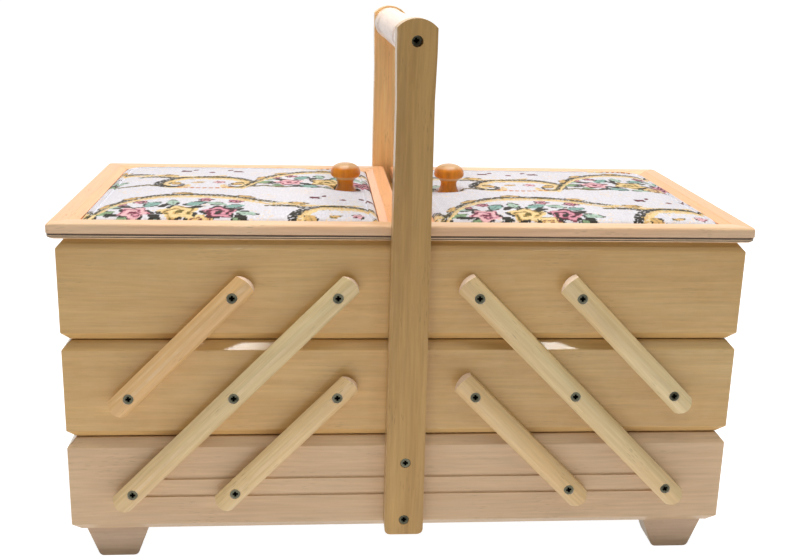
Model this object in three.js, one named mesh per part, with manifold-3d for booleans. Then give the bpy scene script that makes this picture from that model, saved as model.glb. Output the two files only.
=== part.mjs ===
// Cantilever sewing box: a full-width base box, two middle trays and two top trays carried
// by swinging arms, two padded lids, and a turned handle rod between two posts.
// Millimetres, +Z up, +X right, +Y to the rear. The origin is on the ground, below the middle.
import * as THREE from "three";
import { mergeVertices } from "three/addons/utils/BufferGeometryUtils.js";
import Module from "manifold-3d";

const wasm = await Module();
wasm.setup();

// Boxes and trays
const boxLength = 439;
const boxDepth = 221;
const boxHeight = 66;
const wall = 10;
const edgeInset = 5;
const topEdgeHeight = 5.6;
const bottomEdgeHeight = 5.3;
const tierGap = 0.8;
const trayMiddleGap = 2;
const trayDepthEase = 0.5;
const baseFloorThickness = 4;
const trayFloorThickness = 3;
const floorRebate = 3;
const dividerThickness = 5;
const dividerHeight = 40;
const grooveRadius = 1;
const grooveHalfLength = 172;
const grooveHeights = [25.7, 38.1];

// Feet
const footHeight = 22.4;
const footTopWidth = 42;
const footBottomWidth = 25;
const footDepth = 26;
const footEndInset = 7.5;
const footFrontInset = 7.5;
const footCornerRadius = 5;

// Linkage
const armWidth = 15;
const armSideThickness = 7;
const armThickness = 11.5;
const armEndReach = 14.3;
const armEndRise = 2.8;
const armWallGap = 0.5;
const pivotRise = 32;
const pivotPitchX = 66.1;
const pivotInnerX = 44.8;

// Screws
const screwHeadRadius = 3.25;
const screwHeadDepth = 1.8;
const screwShankRadius = 2.1;
const pivotHeadSink = 0.5;
const studRoot = 4;
const postScrewLength = 22;
const postScrewHeights = [13.5, 54.5];
const handleScrewLength = 34;
const handleScrewSink = 8;

// Posts and handle rod
const postThickness = 15;
const postBottomRise = 2.9;
const postFootWidth = 25.6;
const postWaistWidth = 22.8;
const postHeadWidth = 24.2;
const postWaistZ = 312;
const postHeadZ = 340;
const postShoulderZ = 354.5;
const postCrownRise = 5.6;
const postFootRadius = 4.5;
const handleZ = 346.8;
const rodEndRadius = 12;
const rodGrooveRadius = 9.2;
const rodMiddleRadius = 11.5;
const rodEndLength = 20;
const rodGrooveFromEnd = 36;

// Lids
const lidGapToTray = 0.4;
const lidOverhang = 5.5;
const lidHalfGap = 2.5;
const lidBoardThickness = 3.2;
const boardLip = 1.2;
const lidFrameTop = 10.4;
const lidEdgeBevel = 2.4;
const lidCornerRadius = 4.5;
const railOuterWidth = 17.5;
const railInnerWidth = 15.5;
const railSideWidth = 17;
const railBevelWidth = 5.5;
const railBevelDrop = 2;
const padCrown = 3.6;
const padShoulder = 26;
const knobInset = 35;
const knobHeadRadius = 10.75;
const knobNeckRadius = 6.5;
const knobBaseRadius = 7.5;
const knobHeight = 22;
const knobSink = 1;
const knobScrewRadius = 2;
const knobScrewHeadRadius = 3.8;
const knobScrewBite = 12;

// Lid hinges
const hingeLength = 26;
const hingeSpacing = 130;
const hingeLeafThickness = 0.9;
const hingeTrayLeafHeight = 12;
const hingeLidLeafWidth = 16;
const hingeBarrelRadius = 2.2;
const hingePinRadius = 0.9;
const hingeBarrelDrop = 2.6;

// Gap between glued or screwed neighbours, and running gap of a pivot
const seat = 0.3;
const runningGap = 0.35;

// Values that follow from the ones above
const tierPitch = boxHeight + tierGap;
const baseZ = footHeight;
const middleZ = baseZ + tierPitch;
const topZ = middleZ + tierPitch;
const trayDepth = boxDepth - 2 * trayDepthEase;
const trayWidth = (boxLength - trayMiddleGap) / 2;
const trayCentreX = trayMiddleGap / 2 + trayWidth / 2;
const linkLength = Math.hypot(pivotPitchX, tierPitch);
const linkAngle = Math.atan2(tierPitch, pivotPitchX);
const pivotX = [pivotInnerX, pivotInnerX + pivotPitchX, pivotInnerX + 2 * pivotPitchX];
const armBackY = boxDepth / 2 + armWallGap;
const postInnerY = boxDepth / 2 + seat;
const lidBottomZ = topZ + boxHeight + lidGapToTray;
const lidFrameBottomZ = lidBottomZ + lidBoardThickness + seat;
const lidTopZ = lidBottomZ + lidFrameTop - lidGapToTray;
const lidOuterX = boxLength / 2 + lidOverhang;
const lidWidth = lidOuterX - lidHalfGap;
const lidCentreX = lidHalfGap + lidWidth / 2;
const padWidth = lidWidth - railOuterWidth - railInnerWidth;
const padDepth = trayDepth - 2 * railSideWidth;
const padCentreX = lidHalfGap + railInnerWidth + padWidth / 2;
const knobX = lidHalfGap + knobInset;
const knobBaseZ = lidTopZ - knobSink;
const hingeX = boxLength / 2 + seat + hingeLeafThickness / 2 + 1;
const hingeZ = lidBottomZ - hingeBarrelDrop;
const hingeKnuckle = hingeLength / 3 - seat;

const wood = { color: 0xc9a46e, roughness: 0.42, metalness: 0 };
const paleWood = { color: 0xdcbc86, roughness: 0.42, metalness: 0 };
const plywood = { color: 0xb98f58, roughness: 0.6, metalness: 0 };
const varnishedWood = { color: 0xb8692a, roughness: 0.25, metalness: 0 };
const fabric = { color: 0xd9cfae, roughness: 0.95, metalness: 0 };
const zinc = { color: 0xa7a294, roughness: 0.4, metalness: 1 };
const brass = { color: 0xb08d4a, roughness: 0.35, metalness: 1 };

// A manifold solid from a closed three.js geometry.
function solid(geometry) {
  const bare = geometry.clone();
  bare.deleteAttribute("normal");
  bare.deleteAttribute("uv");
  const merged = mergeVertices(bare, 1e-4);
  const vertProperties = new Float32Array(merged.attributes.position.array);
  const triVerts = new Uint32Array(merged.index.array);
  return new wasm.Manifold(new wasm.Mesh({ numProp: 3, vertProperties, triVerts }));
}

// A three.js geometry from a manifold solid.
function shape(manifold) {
  const mesh = manifold.getMesh();
  const geometry = new THREE.BufferGeometry();
  geometry.setAttribute("position", new THREE.BufferAttribute(mesh.vertProperties, 3));
  geometry.setIndex(new THREE.BufferAttribute(mesh.triVerts, 1));
  geometry.computeVertexNormals();
  return geometry;
}

// A named mesh of its own material, added to a group.
function place(group, name, geometry, finish) {
  const mesh = new THREE.Mesh(geometry, new THREE.MeshStandardMaterial(finish));
  mesh.name = name;
  group.add(mesh);
  return mesh;
}

// Corner points of a level rectangle with rounded corners, anticlockwise from above.
function rectangleRing({ z, width, depth, x = 0, y = 0, radius = 0 }, steps) {
  const points = [];
  for (let corner = 0; corner < 4; corner += 1) {
    const signX = corner === 0 || corner === 3 ? 1 : -1;
    const signY = corner < 2 ? 1 : -1;
    for (let step = 0; step <= steps; step += 1) {
      const angle = (corner + (steps === 0 ? 0.5 : step / steps)) * (Math.PI / 2);
      const reach = steps === 0 ? 0 : radius;
      const centreX = x + signX * (width / 2 - reach);
      const centreY = y + signY * (depth / 2 - reach);
      points.push(centreX + reach * Math.cos(angle), centreY + reach * Math.sin(angle), z);
    }
  }
  return points;
}

// A convex solid through level rectangles, listed from the lowest up.
function stack(levels, steps = 0) {
  const count = 4 * (steps + 1);
  const index = [];
  for (let level = 0; level + 1 < levels.length; level += 1) {
    for (let side = 0; side < count; side += 1) {
      const a = level * count + side;
      const b = level * count + ((side + 1) % count);
      index.push(a, b, b + count, a, b + count, a + count);
    }
  }
  const last = (levels.length - 1) * count;
  for (let side = 1; side + 1 < count; side += 1) {
    index.push(0, side + 1, side, last, last + side, last + side + 1);
  }
  const geometry = new THREE.BufferGeometry();
  const points = levels.flatMap((level) => rectangleRing(level, steps));
  geometry.setAttribute("position", new THREE.Float32BufferAttribute(points, 3));
  geometry.setIndex(index);
  return geometry;
}

// A plain block between two heights.
function block(x, y, bottom, width, depth, height) {
  return new THREE.BoxGeometry(width, depth, height).translate(x, y, bottom + height / 2);
}

// A turned solid whose axis is +Z, from [radius, height] points that start and end on the axis.
function turned(profile, segments) {
  const points = profile.map(([radius, height]) => new THREE.Vector2(radius, height));
  return new THREE.LatheGeometry(points, segments).rotateX(Math.PI / 2);
}

// The same turned solid with its axis along -Y (front) or +Y (rear), starting at a point.
function turnedOutward(profile, segments, x, y, z, facing) {
  const geometry = turned(profile, segments).rotateX(facing < 0 ? Math.PI / 2 : -Math.PI / 2);
  return geometry.translate(x, y, z);
}

// Countersunk screw of a length, its tip at height 0, with the same swelling all round for a hole.
function screwProfile(length, swelling = 0, overrun = 0) {
  const shank = screwShankRadius + swelling;
  const head = screwHeadRadius + swelling;
  return [
    [0, -overrun],
    [shank, -overrun],
    [shank, length - screwHeadDepth - swelling],
    [head, length],
    [head, length + overrun],
    [0, length + overrun],
  ];
}

const screwSegments = 10;
const pivotLength = armThickness - pivotHeadSink;

// Pivot screw of one arm, rooted in the board behind it.
function pivotScrew(x, z, boardY, facing) {
  const reach = armBackY + pivotLength - boardY;
  const profile = screwProfile(studRoot + reach);
  return turnedOutward(profile, screwSegments, x, facing * (boardY - studRoot), z, facing);
}

// Chamfered outside of a box or tray.
function chamferedBlock(x, bottom, width, depth) {
  const narrow = { x, width: width - 2 * edgeInset, depth: depth - 2 * edgeInset };
  return stack([
    { ...narrow, z: bottom },
    { x, z: bottom + bottomEdgeHeight, width, depth },
    { x, z: bottom + boxHeight - topEdgeHeight, width, depth },
    { ...narrow, z: bottom + boxHeight },
  ]);
}

// Four walls of a box with a rebate for its floor and pivot screws on its front and rear.
function carcass(x, bottom, width, depth, floorThickness, pivots) {
  const through = boxHeight + 2;
  const hollow = block(x, 0, bottom - 1, width - 2 * wall, depth - 2 * wall, through);
  const rebateWidth = width - 2 * (wall - floorRebate);
  const rebateDepth = depth - 2 * (wall - floorRebate);
  const rebate = block(x, 0, bottom - 1, rebateWidth, rebateDepth, 1 + floorThickness + seat);
  let body = solid(chamferedBlock(x, bottom, width, depth));
  body = body.subtract(solid(hollow)).subtract(solid(rebate));
  for (const facing of [-1, 1]) {
    for (const pivot of pivots) {
      body = body.add(solid(pivotScrew(pivot, bottom + pivotRise, depth / 2, facing)));
    }
  }
  return body;
}

// Floor panel that lies in the rebate of a box.
function floorPanel(x, bottom, width, depth, thickness) {
  const ease = 2 * (wall - floorRebate + seat);
  return block(x, 0, bottom, width - ease, depth - ease, thickness);
}

// Two decorative grooves across the front and rear of the base box.
function grooves() {
  const cutters = [];
  for (const facing of [-1, 1]) {
    for (const height of grooveHeights) {
      const cutter = new THREE.CylinderGeometry(grooveRadius, grooveRadius, 2 * grooveHalfLength, 8);
      cutters.push(cutter.rotateZ(Math.PI / 2).translate(0, (facing * boxDepth) / 2, baseZ + height));
    }
  }
  return cutters;
}

// Screws that hold a post to the base box, or the holes for them.
function postScrew(height, facing, swelling, overrun) {
  const length = postScrewLength;
  const start = facing * (postInnerY + postThickness - pivotHeadSink - length);
  const profile = screwProfile(length, swelling, overrun);
  return turnedOutward(profile, screwSegments, 0, start, baseZ + height, facing);
}

// Screw that holds the handle rod, deep in the post head, or the hole for it.
function handleScrew(facing, swelling, overrun) {
  const length = handleScrewLength;
  const start = facing * (postInnerY + postThickness - handleScrewSink - length);
  const profile = screwProfile(length, swelling, overrun);
  return turnedOutward(profile, screwSegments, 0, start, handleZ, facing);
}

function addBase(group) {
  let body = carcass(0, baseZ, boxLength, boxDepth, baseFloorThickness, [
    -pivotX[2],
    -pivotX[1],
    pivotX[1],
    pivotX[2],
  ]);
  for (const cutter of grooves()) {
    body = body.subtract(solid(cutter));
  }
  for (const facing of [-1, 1]) {
    for (const height of postScrewHeights) {
      body = body.subtract(solid(postScrew(height, facing, seat, seat)));
    }
  }
  place(group, "base_box", shape(body), wood);
  const floor = floorPanel(0, baseZ, boxLength, boxDepth, baseFloorThickness);
  place(group, "base_floor", floor, plywood);
}

// Tapered block foot with rounded lower corners, seen from the front.
function foot() {
  const top = footTopWidth / 2;
  const bottom = footBottomWidth / 2;
  const height = footHeight - seat;
  const outline = new THREE.Shape();
  const slope = Math.atan2(height, top - bottom);
  const tangent = footCornerRadius * Math.tan((Math.PI - slope) / 4);
  outline.moveTo(-top, height);
  outline.lineTo(-bottom - tangent * Math.cos(slope), tangent * Math.sin(slope));
  outline.quadraticCurveTo(-bottom, 0, -bottom + tangent, 0);
  outline.lineTo(bottom - tangent, 0);
  outline.quadraticCurveTo(bottom, 0, bottom + tangent * Math.cos(slope), tangent * Math.sin(slope));
  outline.lineTo(top, height);
  outline.closePath();
  const options = { depth: footDepth, bevelEnabled: false, curveSegments: 4 };
  return new THREE.ExtrudeGeometry(outline, options).rotateX(Math.PI / 2);
}

function addFeet(group) {
  const x = boxLength / 2 - footEndInset - footTopWidth / 2;
  const y = boxDepth / 2 - footFrontInset - footDepth / 2;
  for (const [face, signY] of [["front", -1], ["rear", 1]]) {
    for (const [side, signX] of [["left", -1], ["right", 1]]) {
      const mesh = place(group, `foot_${face}_${side}`, foot(), wood);
      mesh.position.set(signX * x, signY * y + footDepth / 2, 0);
    }
  }
}

// Post outline: rounded foot, slight waist, wider head and an arched top.
function postOutline() {
  const bottom = baseZ + postBottomRise;
  const footHalf = postFootWidth / 2;
  const headHalf = postHeadWidth / 2;
  const arch = (headHalf ** 2 + postCrownRise ** 2) / (2 * postCrownRise);
  const archCentre = postShoulderZ + postCrownRise - arch;
  const archAngle = Math.atan2(postShoulderZ - archCentre, headHalf);
  const outline = new THREE.Shape();
  outline.moveTo(-footHalf + postFootRadius, bottom);
  outline.lineTo(footHalf - postFootRadius, bottom);
  outline.quadraticCurveTo(footHalf, bottom, footHalf, bottom + postFootRadius);
  outline.lineTo(postWaistWidth / 2, postWaistZ);
  outline.lineTo(headHalf, postHeadZ);
  outline.lineTo(headHalf, postShoulderZ);
  outline.absarc(0, archCentre, arch, archAngle, Math.PI - archAngle, false);
  outline.lineTo(-headHalf, postHeadZ);
  outline.lineTo(-postWaistWidth / 2, postWaistZ);
  outline.lineTo(-footHalf, bottom + postFootRadius);
  outline.quadraticCurveTo(-footHalf, bottom, -footHalf + postFootRadius, bottom);
  return outline;
}

function addPosts(group) {
  for (const [face, facing] of [["front", -1], ["rear", 1]]) {
    const options = { depth: postThickness, bevelEnabled: false, curveSegments: 10 };
    const blank = new THREE.ExtrudeGeometry(postOutline(), options).rotateX(Math.PI / 2);
    blank.translate(0, facing < 0 ? -postInnerY : postInnerY + postThickness, 0);
    let post = solid(blank);
    for (const [index, height] of postScrewHeights.entries()) {
      post = post.subtract(solid(postScrew(height, facing, seat, 2)));
      const name = `post_screw_${face}_${index === 0 ? "lower" : "upper"}`;
      place(group, name, postScrew(height, facing, 0, 0), zinc);
    }
    post = post.subtract(solid(handleScrew(facing, seat, handleScrewSink + 2)));
    place(group, `post_${face}`, shape(post), wood);
    place(group, `handle_screw_${face}`, handleScrew(facing, 0, 0), zinc);
  }
}

// Turned handle rod: a straight collar at each end, a fine groove, and a swelling middle.
function addHandle(group) {
  const half = postInnerY - seat;
  const groove = half - rodGrooveFromEnd;
  const side = [
    [rodEndRadius - 1, half],
    [rodEndRadius, half - 1.5],
    [rodEndRadius, half - rodEndLength],
    [rodGrooveRadius + 0.6, groove + 3],
    [rodGrooveRadius, groove],
    [rodGrooveRadius + 0.6, groove - 3],
    [rodMiddleRadius - 0.5, half / 3],
    [rodMiddleRadius, half / 8],
  ];
  const rising = side.map(([radius, height]) => [radius, -height]);
  const profile = [[0, -half], ...rising, ...side.reverse(), [0, half]];
  let rod = solid(turnedOutward(profile, 20, 0, 0, handleZ, 1));
  for (const facing of [-1, 1]) {
    rod = rod.subtract(solid(handleScrew(facing, seat, seat)));
  }
  place(group, "handle_rod", shape(rod), paleWood);
}

// Cross-section of an arm in width and thickness: flat back, short sides, rounded front.
function armSection() {
  const half = armWidth / 2;
  const rise = armThickness - armSideThickness;
  const radius = (half ** 2 + rise ** 2) / (2 * rise);
  const spread = Math.asin(half / radius);
  const section = new THREE.Shape();
  section.moveTo(half, 0);
  section.absarc(0, armThickness - radius, radius, Math.PI / 2 - spread, Math.PI / 2 + spread, false);
  section.lineTo(-half, 0);
  section.closePath();
  return section;
}

// Side view of an arm from its first pivot: straight edges and slightly rounded ends.
function armOutline(reach) {
  const half = armWidth / 2;
  const radius = (half ** 2 + armEndRise ** 2) / (2 * armEndRise);
  const spread = Math.asin(half / radius);
  const outline = new THREE.Shape();
  outline.absarc(reach + armEndReach - radius, 0, radius, -spread, spread, false);
  outline.absarc(radius - armEndReach, 0, radius, Math.PI - spread, Math.PI + spread, false);
  outline.closePath();
  return outline;
}

// Arm along +X from its first pivot, its back at y = 0 and its rounded front towards -Y.
function arm(pivotCount) {
  const reach = (pivotCount - 1) * linkLength;
  const bar = new THREE.ExtrudeGeometry(armSection(), {
    depth: reach + 4 * armEndReach,
    bevelEnabled: false,
    curveSegments: 3,
  });
  const alongX = new THREE.Matrix4().makeBasis(
    new THREE.Vector3(0, 0, 1),
    new THREE.Vector3(0, -1, 0),
    new THREE.Vector3(1, 0, 0),
  );
  bar.applyMatrix4(alongX).translate(-2 * armEndReach, 0, 0);
  const plate = new THREE.ExtrudeGeometry(armOutline(reach), {
    depth: armThickness + 2,
    bevelEnabled: false,
    curveSegments: 3,
  });
  plate.rotateX(Math.PI / 2).translate(0, 1, 0);
  let body = solid(bar).intersect(solid(plate));
  for (let pivot = 0; pivot < pivotCount; pivot += 1) {
    const profile = screwProfile(pivotLength, runningGap, 2);
    body = body.subtract(solid(turnedOutward(profile, screwSegments, pivot * linkLength, 0, 0, -1)));
  }
  return shape(body);
}

// One tray with its floor and divider. The divider runs across (along Y) or lengthwise (along X).
function addTray(group, name, bottom, pivots, dividerAcross) {
  const body = carcass(trayCentreX, bottom, trayWidth, trayDepth, trayFloorThickness, pivots);
  place(group, name, shape(body), wood);
  const floor = floorPanel(trayCentreX, bottom, trayWidth, trayDepth, trayFloorThickness);
  place(group, `${name}_floor`, floor, plywood);
  const spanX = trayWidth - 2 * (wall + seat);
  const spanY = trayDepth - 2 * (wall + seat);
  const width = dividerAcross ? dividerThickness : spanX;
  const depth = dividerAcross ? spanY : dividerThickness;
  const dividerZ = bottom + trayFloorThickness + seat;
  const divider = block(trayCentreX, 0, dividerZ, width, depth, dividerHeight);
  place(group, `${name}_divider`, divider, plywood);
}

// Plywood board of a lid, recessed below for its hinge leaves and countersunk for the knob screw.
function lidBoard() {
  const size = { x: lidCentreX, width: lidWidth, depth: trayDepth, radius: lidCornerRadius };
  const narrow = { ...size, width: lidWidth - 2 * boardLip, depth: trayDepth - 2 * boardLip };
  const levels = [
    { ...narrow, z: lidBottomZ },
    { ...size, z: lidBottomZ + boardLip },
    { ...size, z: lidBottomZ + lidBoardThickness },
  ];
  let board = solid(stack(levels, 3)).subtract(solid(knobScrew(seat, 1)));
  const recessWidth = hingeLidLeafWidth + lidOverhang + 2;
  const recessX = lidOuterX + 1 - recessWidth / 2;
  const recessHeight = 1 + hingeLeafThickness + seat;
  for (const y of [-hingeSpacing / 2, hingeSpacing / 2]) {
    const length = hingeLength + 2 * seat;
    const recess = block(recessX, y, lidBottomZ - 1, recessWidth, length, recessHeight);
    board = board.subtract(solid(recess));
  }
  return shape(board);
}

// Mitred rail frame of a lid with a bevelled outer edge and a bevel down to the pad.
function lidFrame() {
  const size = { x: lidCentreX, width: lidWidth, depth: trayDepth, radius: lidCornerRadius };
  const narrow = { ...size, width: lidWidth - 2 * lidEdgeBevel, depth: trayDepth - 2 * lidEdgeBevel };
  const levels = [
    { ...size, z: lidFrameBottomZ },
    { ...size, z: lidTopZ - lidEdgeBevel },
    { ...narrow, z: lidTopZ },
  ];
  const opening = { x: padCentreX, width: padWidth, depth: padDepth };
  const spread = 4 * railBevelWidth;
  const flared = { x: padCentreX, width: padWidth + spread, depth: padDepth + spread };
  const cutter = stack([
    { ...opening, z: lidFrameBottomZ - 1 },
    { ...opening, z: lidTopZ - railBevelDrop },
    { ...flared, z: lidTopZ + railBevelDrop },
  ]);
  return shape(solid(stack(levels, 3)).subtract(solid(cutter)));
}

// Padded panel of a lid: a low crown with a seat for the knob and a hole for its screw.
function lidPad() {
  const level = (z, inset) => {
    const shrink = 2 * (inset + seat);
    return { z, x: padCentreX, width: padWidth - shrink, depth: padDepth - shrink };
  };
  const crown = stack([
    level(lidFrameBottomZ, 0),
    level(lidTopZ - railBevelDrop, 0),
    level(lidTopZ + padCrown / 2, padShoulder / 3),
    level(lidTopZ + padCrown, padShoulder),
  ]);
  const knobSeat = [
    [0, 0],
    [knobBaseRadius + seat, 0],
    [knobBaseRadius + seat, knobHeight],
    [0, knobHeight],
  ];
  const pocket = turned(knobSeat, 16).translate(knobX, 0, knobBaseZ - seat);
  return shape(solid(crown).subtract(solid(pocket)).subtract(solid(knobScrew(seat, 1))));
}

// Screw up through the lid into its knob, or the hole for it.
function knobScrew(swelling, overrun) {
  const length = knobBaseZ - lidBottomZ + knobScrewBite;
  const shank = knobScrewRadius + swelling;
  const head = knobScrewHeadRadius + swelling;
  const profile = [
    [0, -overrun],
    [head, -overrun],
    [head, seat],
    [shank, head - shank + seat],
    [shank, length + swelling],
    [0, length + swelling],
  ];
  return turned(profile, 12).translate(knobX, 0, lidBottomZ);
}

// Turned knob with a narrow neck and a rounded head.
function knob() {
  const profile = [
    [0, 0],
    [knobBaseRadius, 0],
    [knobBaseRadius, 0.1 * knobHeight],
    [knobNeckRadius, 0.3 * knobHeight],
    [knobNeckRadius + 0.8, 0.42 * knobHeight],
    [knobHeadRadius - 0.8, 0.58 * knobHeight],
    [knobHeadRadius, 0.72 * knobHeight],
    [knobHeadRadius - 1.2, 0.87 * knobHeight],
    [0.55 * knobHeadRadius, 0.98 * knobHeight],
    [0, knobHeight],
  ];
  const body = solid(turned(profile, 20).translate(knobX, 0, knobBaseZ));
  return shape(body.subtract(solid(knobScrew(seat, 1))));
}

function addLid(group, side) {
  place(group, `lid_board_${side}`, lidBoard(), plywood);
  place(group, `lid_frame_${side}`, lidFrame(), paleWood);
  place(group, `lid_pad_${side}`, lidPad(), fabric);
  place(group, `lid_knob_${side}`, knob(), varnishedWood);
  place(group, `knob_screw_${side}`, knobScrew(0, 0), zinc);
}

// Round bar along Y about the hinge axis.
function hingeBar(y, length, radius) {
  const bar = new THREE.CylinderGeometry(radius, radius, length, 12);
  return solid(bar.translate(hingeX, y, hingeZ));
}

// Hinge leaf on the end wall of a tray, with the two outer knuckles and the pin.
function hingeTrayLeaf(y) {
  const leafX = boxLength / 2 + seat + hingeLeafThickness / 2;
  const leafTop = hingeZ - hingeBarrelRadius - 2 * seat;
  const leafBottom = leafTop - hingeTrayLeafHeight;
  const plate = block(leafX, y, leafBottom, hingeLeafThickness, hingeLength, hingeTrayLeafHeight);
  let leaf = solid(plate).add(hingeBar(y, hingeLength, hingePinRadius));
  for (const end of [-1, 1]) {
    const knuckleY = y + (end * (hingeLength - hingeKnuckle)) / 2;
    const tongueHeight = hingeZ - leafTop + 1;
    const tongue = block(leafX, knuckleY, leafTop - 1, hingeLeafThickness, hingeKnuckle, tongueHeight);
    leaf = leaf.add(solid(tongue)).add(hingeBar(knuckleY, hingeKnuckle, hingeBarrelRadius));
  }
  return shape(leaf);
}

// Hinge leaf let into the underside of a lid, with the middle knuckle round the pin.
function hingeLidLeaf(y) {
  const webWidth = 0.8 * hingeBarrelRadius;
  const outerX = hingeX + hingeBarrelRadius;
  const leafX = outerX - hingeLidLeafWidth / 2;
  const webHeight = hingeBarrelDrop + hingeLeafThickness / 2;
  const plate = block(leafX, y, lidBottomZ, hingeLidLeafWidth, hingeLength, hingeLeafThickness);
  const web = block(outerX - webWidth / 2, y, hingeZ, webWidth, hingeKnuckle, webHeight);
  const leaf = solid(plate).add(solid(web)).add(hingeBar(y, hingeKnuckle, hingeBarrelRadius));
  return shape(leaf.subtract(hingeBar(y, hingeLength, hingePinRadius + seat)));
}

// The three arms on one face of a side: the long one and the two short ones.
function addArms(group, side, face, facing) {
  const arms = [
    ["long", 3, pivotX[2], baseZ],
    ["lower", 2, pivotX[1], baseZ],
    ["upper", 2, pivotX[2], middleZ],
  ];
  for (const [name, pivotCount, x, bottom] of arms) {
    const geometry = arm(pivotCount);
    if (facing > 0) {
      geometry.rotateX(Math.PI);
    }
    const mesh = place(group, `arm_${name}_${side}_${face}`, geometry, paleWood);
    mesh.position.set(x, facing * armBackY, bottom + pivotRise);
    mesh.rotation.y = linkAngle - Math.PI;
  }
}

// Everything that opens to one side. It is built to the right; the left is the same turned round.
function addSide(assembly, side) {
  const group = new THREE.Group();
  group.rotation.z = side === "left" ? Math.PI : 0;
  assembly.add(group);
  addTray(group, `tray_middle_${side}`, middleZ, pivotX, true);
  addTray(group, `tray_top_${side}`, topZ, pivotX.slice(0, 2), false);
  addLid(group, side);
  for (const facing of [-1, 1]) {
    const face = (facing < 0) === (side === "right") ? "front" : "rear";
    addArms(group, side, face, facing);
    const hingeY = (facing * hingeSpacing) / 2;
    place(group, `hinge_tray_leaf_${side}_${face}`, hingeTrayLeaf(hingeY), brass);
    place(group, `hinge_lid_leaf_${side}_${face}`, hingeLidLeaf(hingeY), brass);
  }
}

const sewingBox = new THREE.Group();
addBase(sewingBox);
addFeet(sewingBox);
addPosts(sewingBox);
addHandle(sewingBox);
addSide(sewingBox, "left");
addSide(sewingBox, "right");
export default sewingBox;
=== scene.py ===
"""Sewing box with two tiers of swinging trays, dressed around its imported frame.

Every size is in metres, in the frame's own axes: X across, Y front to back, Z up.
"""

import logging
import math
from collections.abc import Iterable, Sequence
from dataclasses import dataclass, field, replace
from enum import Enum

import bmesh
import bpy
import numpy as np
from mathutils import Matrix, Vector
from mathutils.bvhtree import BVHTree


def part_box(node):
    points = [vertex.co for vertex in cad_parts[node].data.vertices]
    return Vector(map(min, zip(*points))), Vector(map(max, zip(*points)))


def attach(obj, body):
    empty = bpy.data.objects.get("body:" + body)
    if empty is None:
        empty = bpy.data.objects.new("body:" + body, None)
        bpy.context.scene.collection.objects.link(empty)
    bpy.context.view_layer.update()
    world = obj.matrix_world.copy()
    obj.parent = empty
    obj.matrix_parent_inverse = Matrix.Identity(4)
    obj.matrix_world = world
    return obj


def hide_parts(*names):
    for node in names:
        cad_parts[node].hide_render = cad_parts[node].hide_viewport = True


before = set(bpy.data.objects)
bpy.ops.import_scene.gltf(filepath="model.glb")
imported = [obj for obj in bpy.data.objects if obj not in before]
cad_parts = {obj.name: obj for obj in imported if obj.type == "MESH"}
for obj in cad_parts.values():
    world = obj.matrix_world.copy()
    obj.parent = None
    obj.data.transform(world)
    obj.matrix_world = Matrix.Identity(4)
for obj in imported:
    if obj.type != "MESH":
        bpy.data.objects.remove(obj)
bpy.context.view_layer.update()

LOG = logging.getLogger("sewing_box")
MM = 0.001
PLACE = "board_place"
TONE = "board_tone"
END = "board_end"
RECESS_SHADE = "screw_recess_shade"
MOTIF = "motif"

Colour = tuple[float, float, float, float]
Point = tuple[float, float]


class Side(Enum):
    """The two halves of the box."""

    LEFT = "left"
    RIGHT = "right"

    @property
    def sign(self) -> int:
        """Minus one on the left, one on the right."""
        return -1 if self is Side.LEFT else 1


class Face(Enum):
    """The two long faces of the box, which carry the arms."""

    FRONT = "front"
    REAR = "rear"

    @property
    def sign(self) -> int:
        """Minus one at the front, one at the rear."""
        return -1 if self is Face.FRONT else 1


class Grain(Enum):
    """The way the fibres of a straight board run: its along, across and through axes."""

    ACROSS = ((1, 0, 0), (0, 1, 0), (0, 0, 1))
    DEEP = ((0, 1, 0), (1, 0, 0), (0, 0, 1))
    UP = ((0, 0, 1), (1, 0, 0), (0, 1, 0))
    FLAT_FRONT = ((1, 0, 0), (0, 0, 1), (0, 1, 0))
    UPRIGHT_DEEP = ((0, 1, 0), (0, 0, 1), (1, 0, 0))


def tint(code: str) -> Colour:
    """Turns a written colour into the linear colour that a shader reads.

    Args:
        code: Six hexadecimal digits, red, green and blue.

    Returns:
        The linear colour with full opacity.
    """
    parts = [int(code[i : i + 2], 16) / 255 for i in (0, 2, 4)]
    linear = [p / 12.92 if p <= 0.04045 else ((p + 0.055) / 1.055) ** 2.4 for p in parts]
    return (linear[0], linear[1], linear[2], 1.0)


# --------------------------------------------------------------------------- nodes


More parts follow.
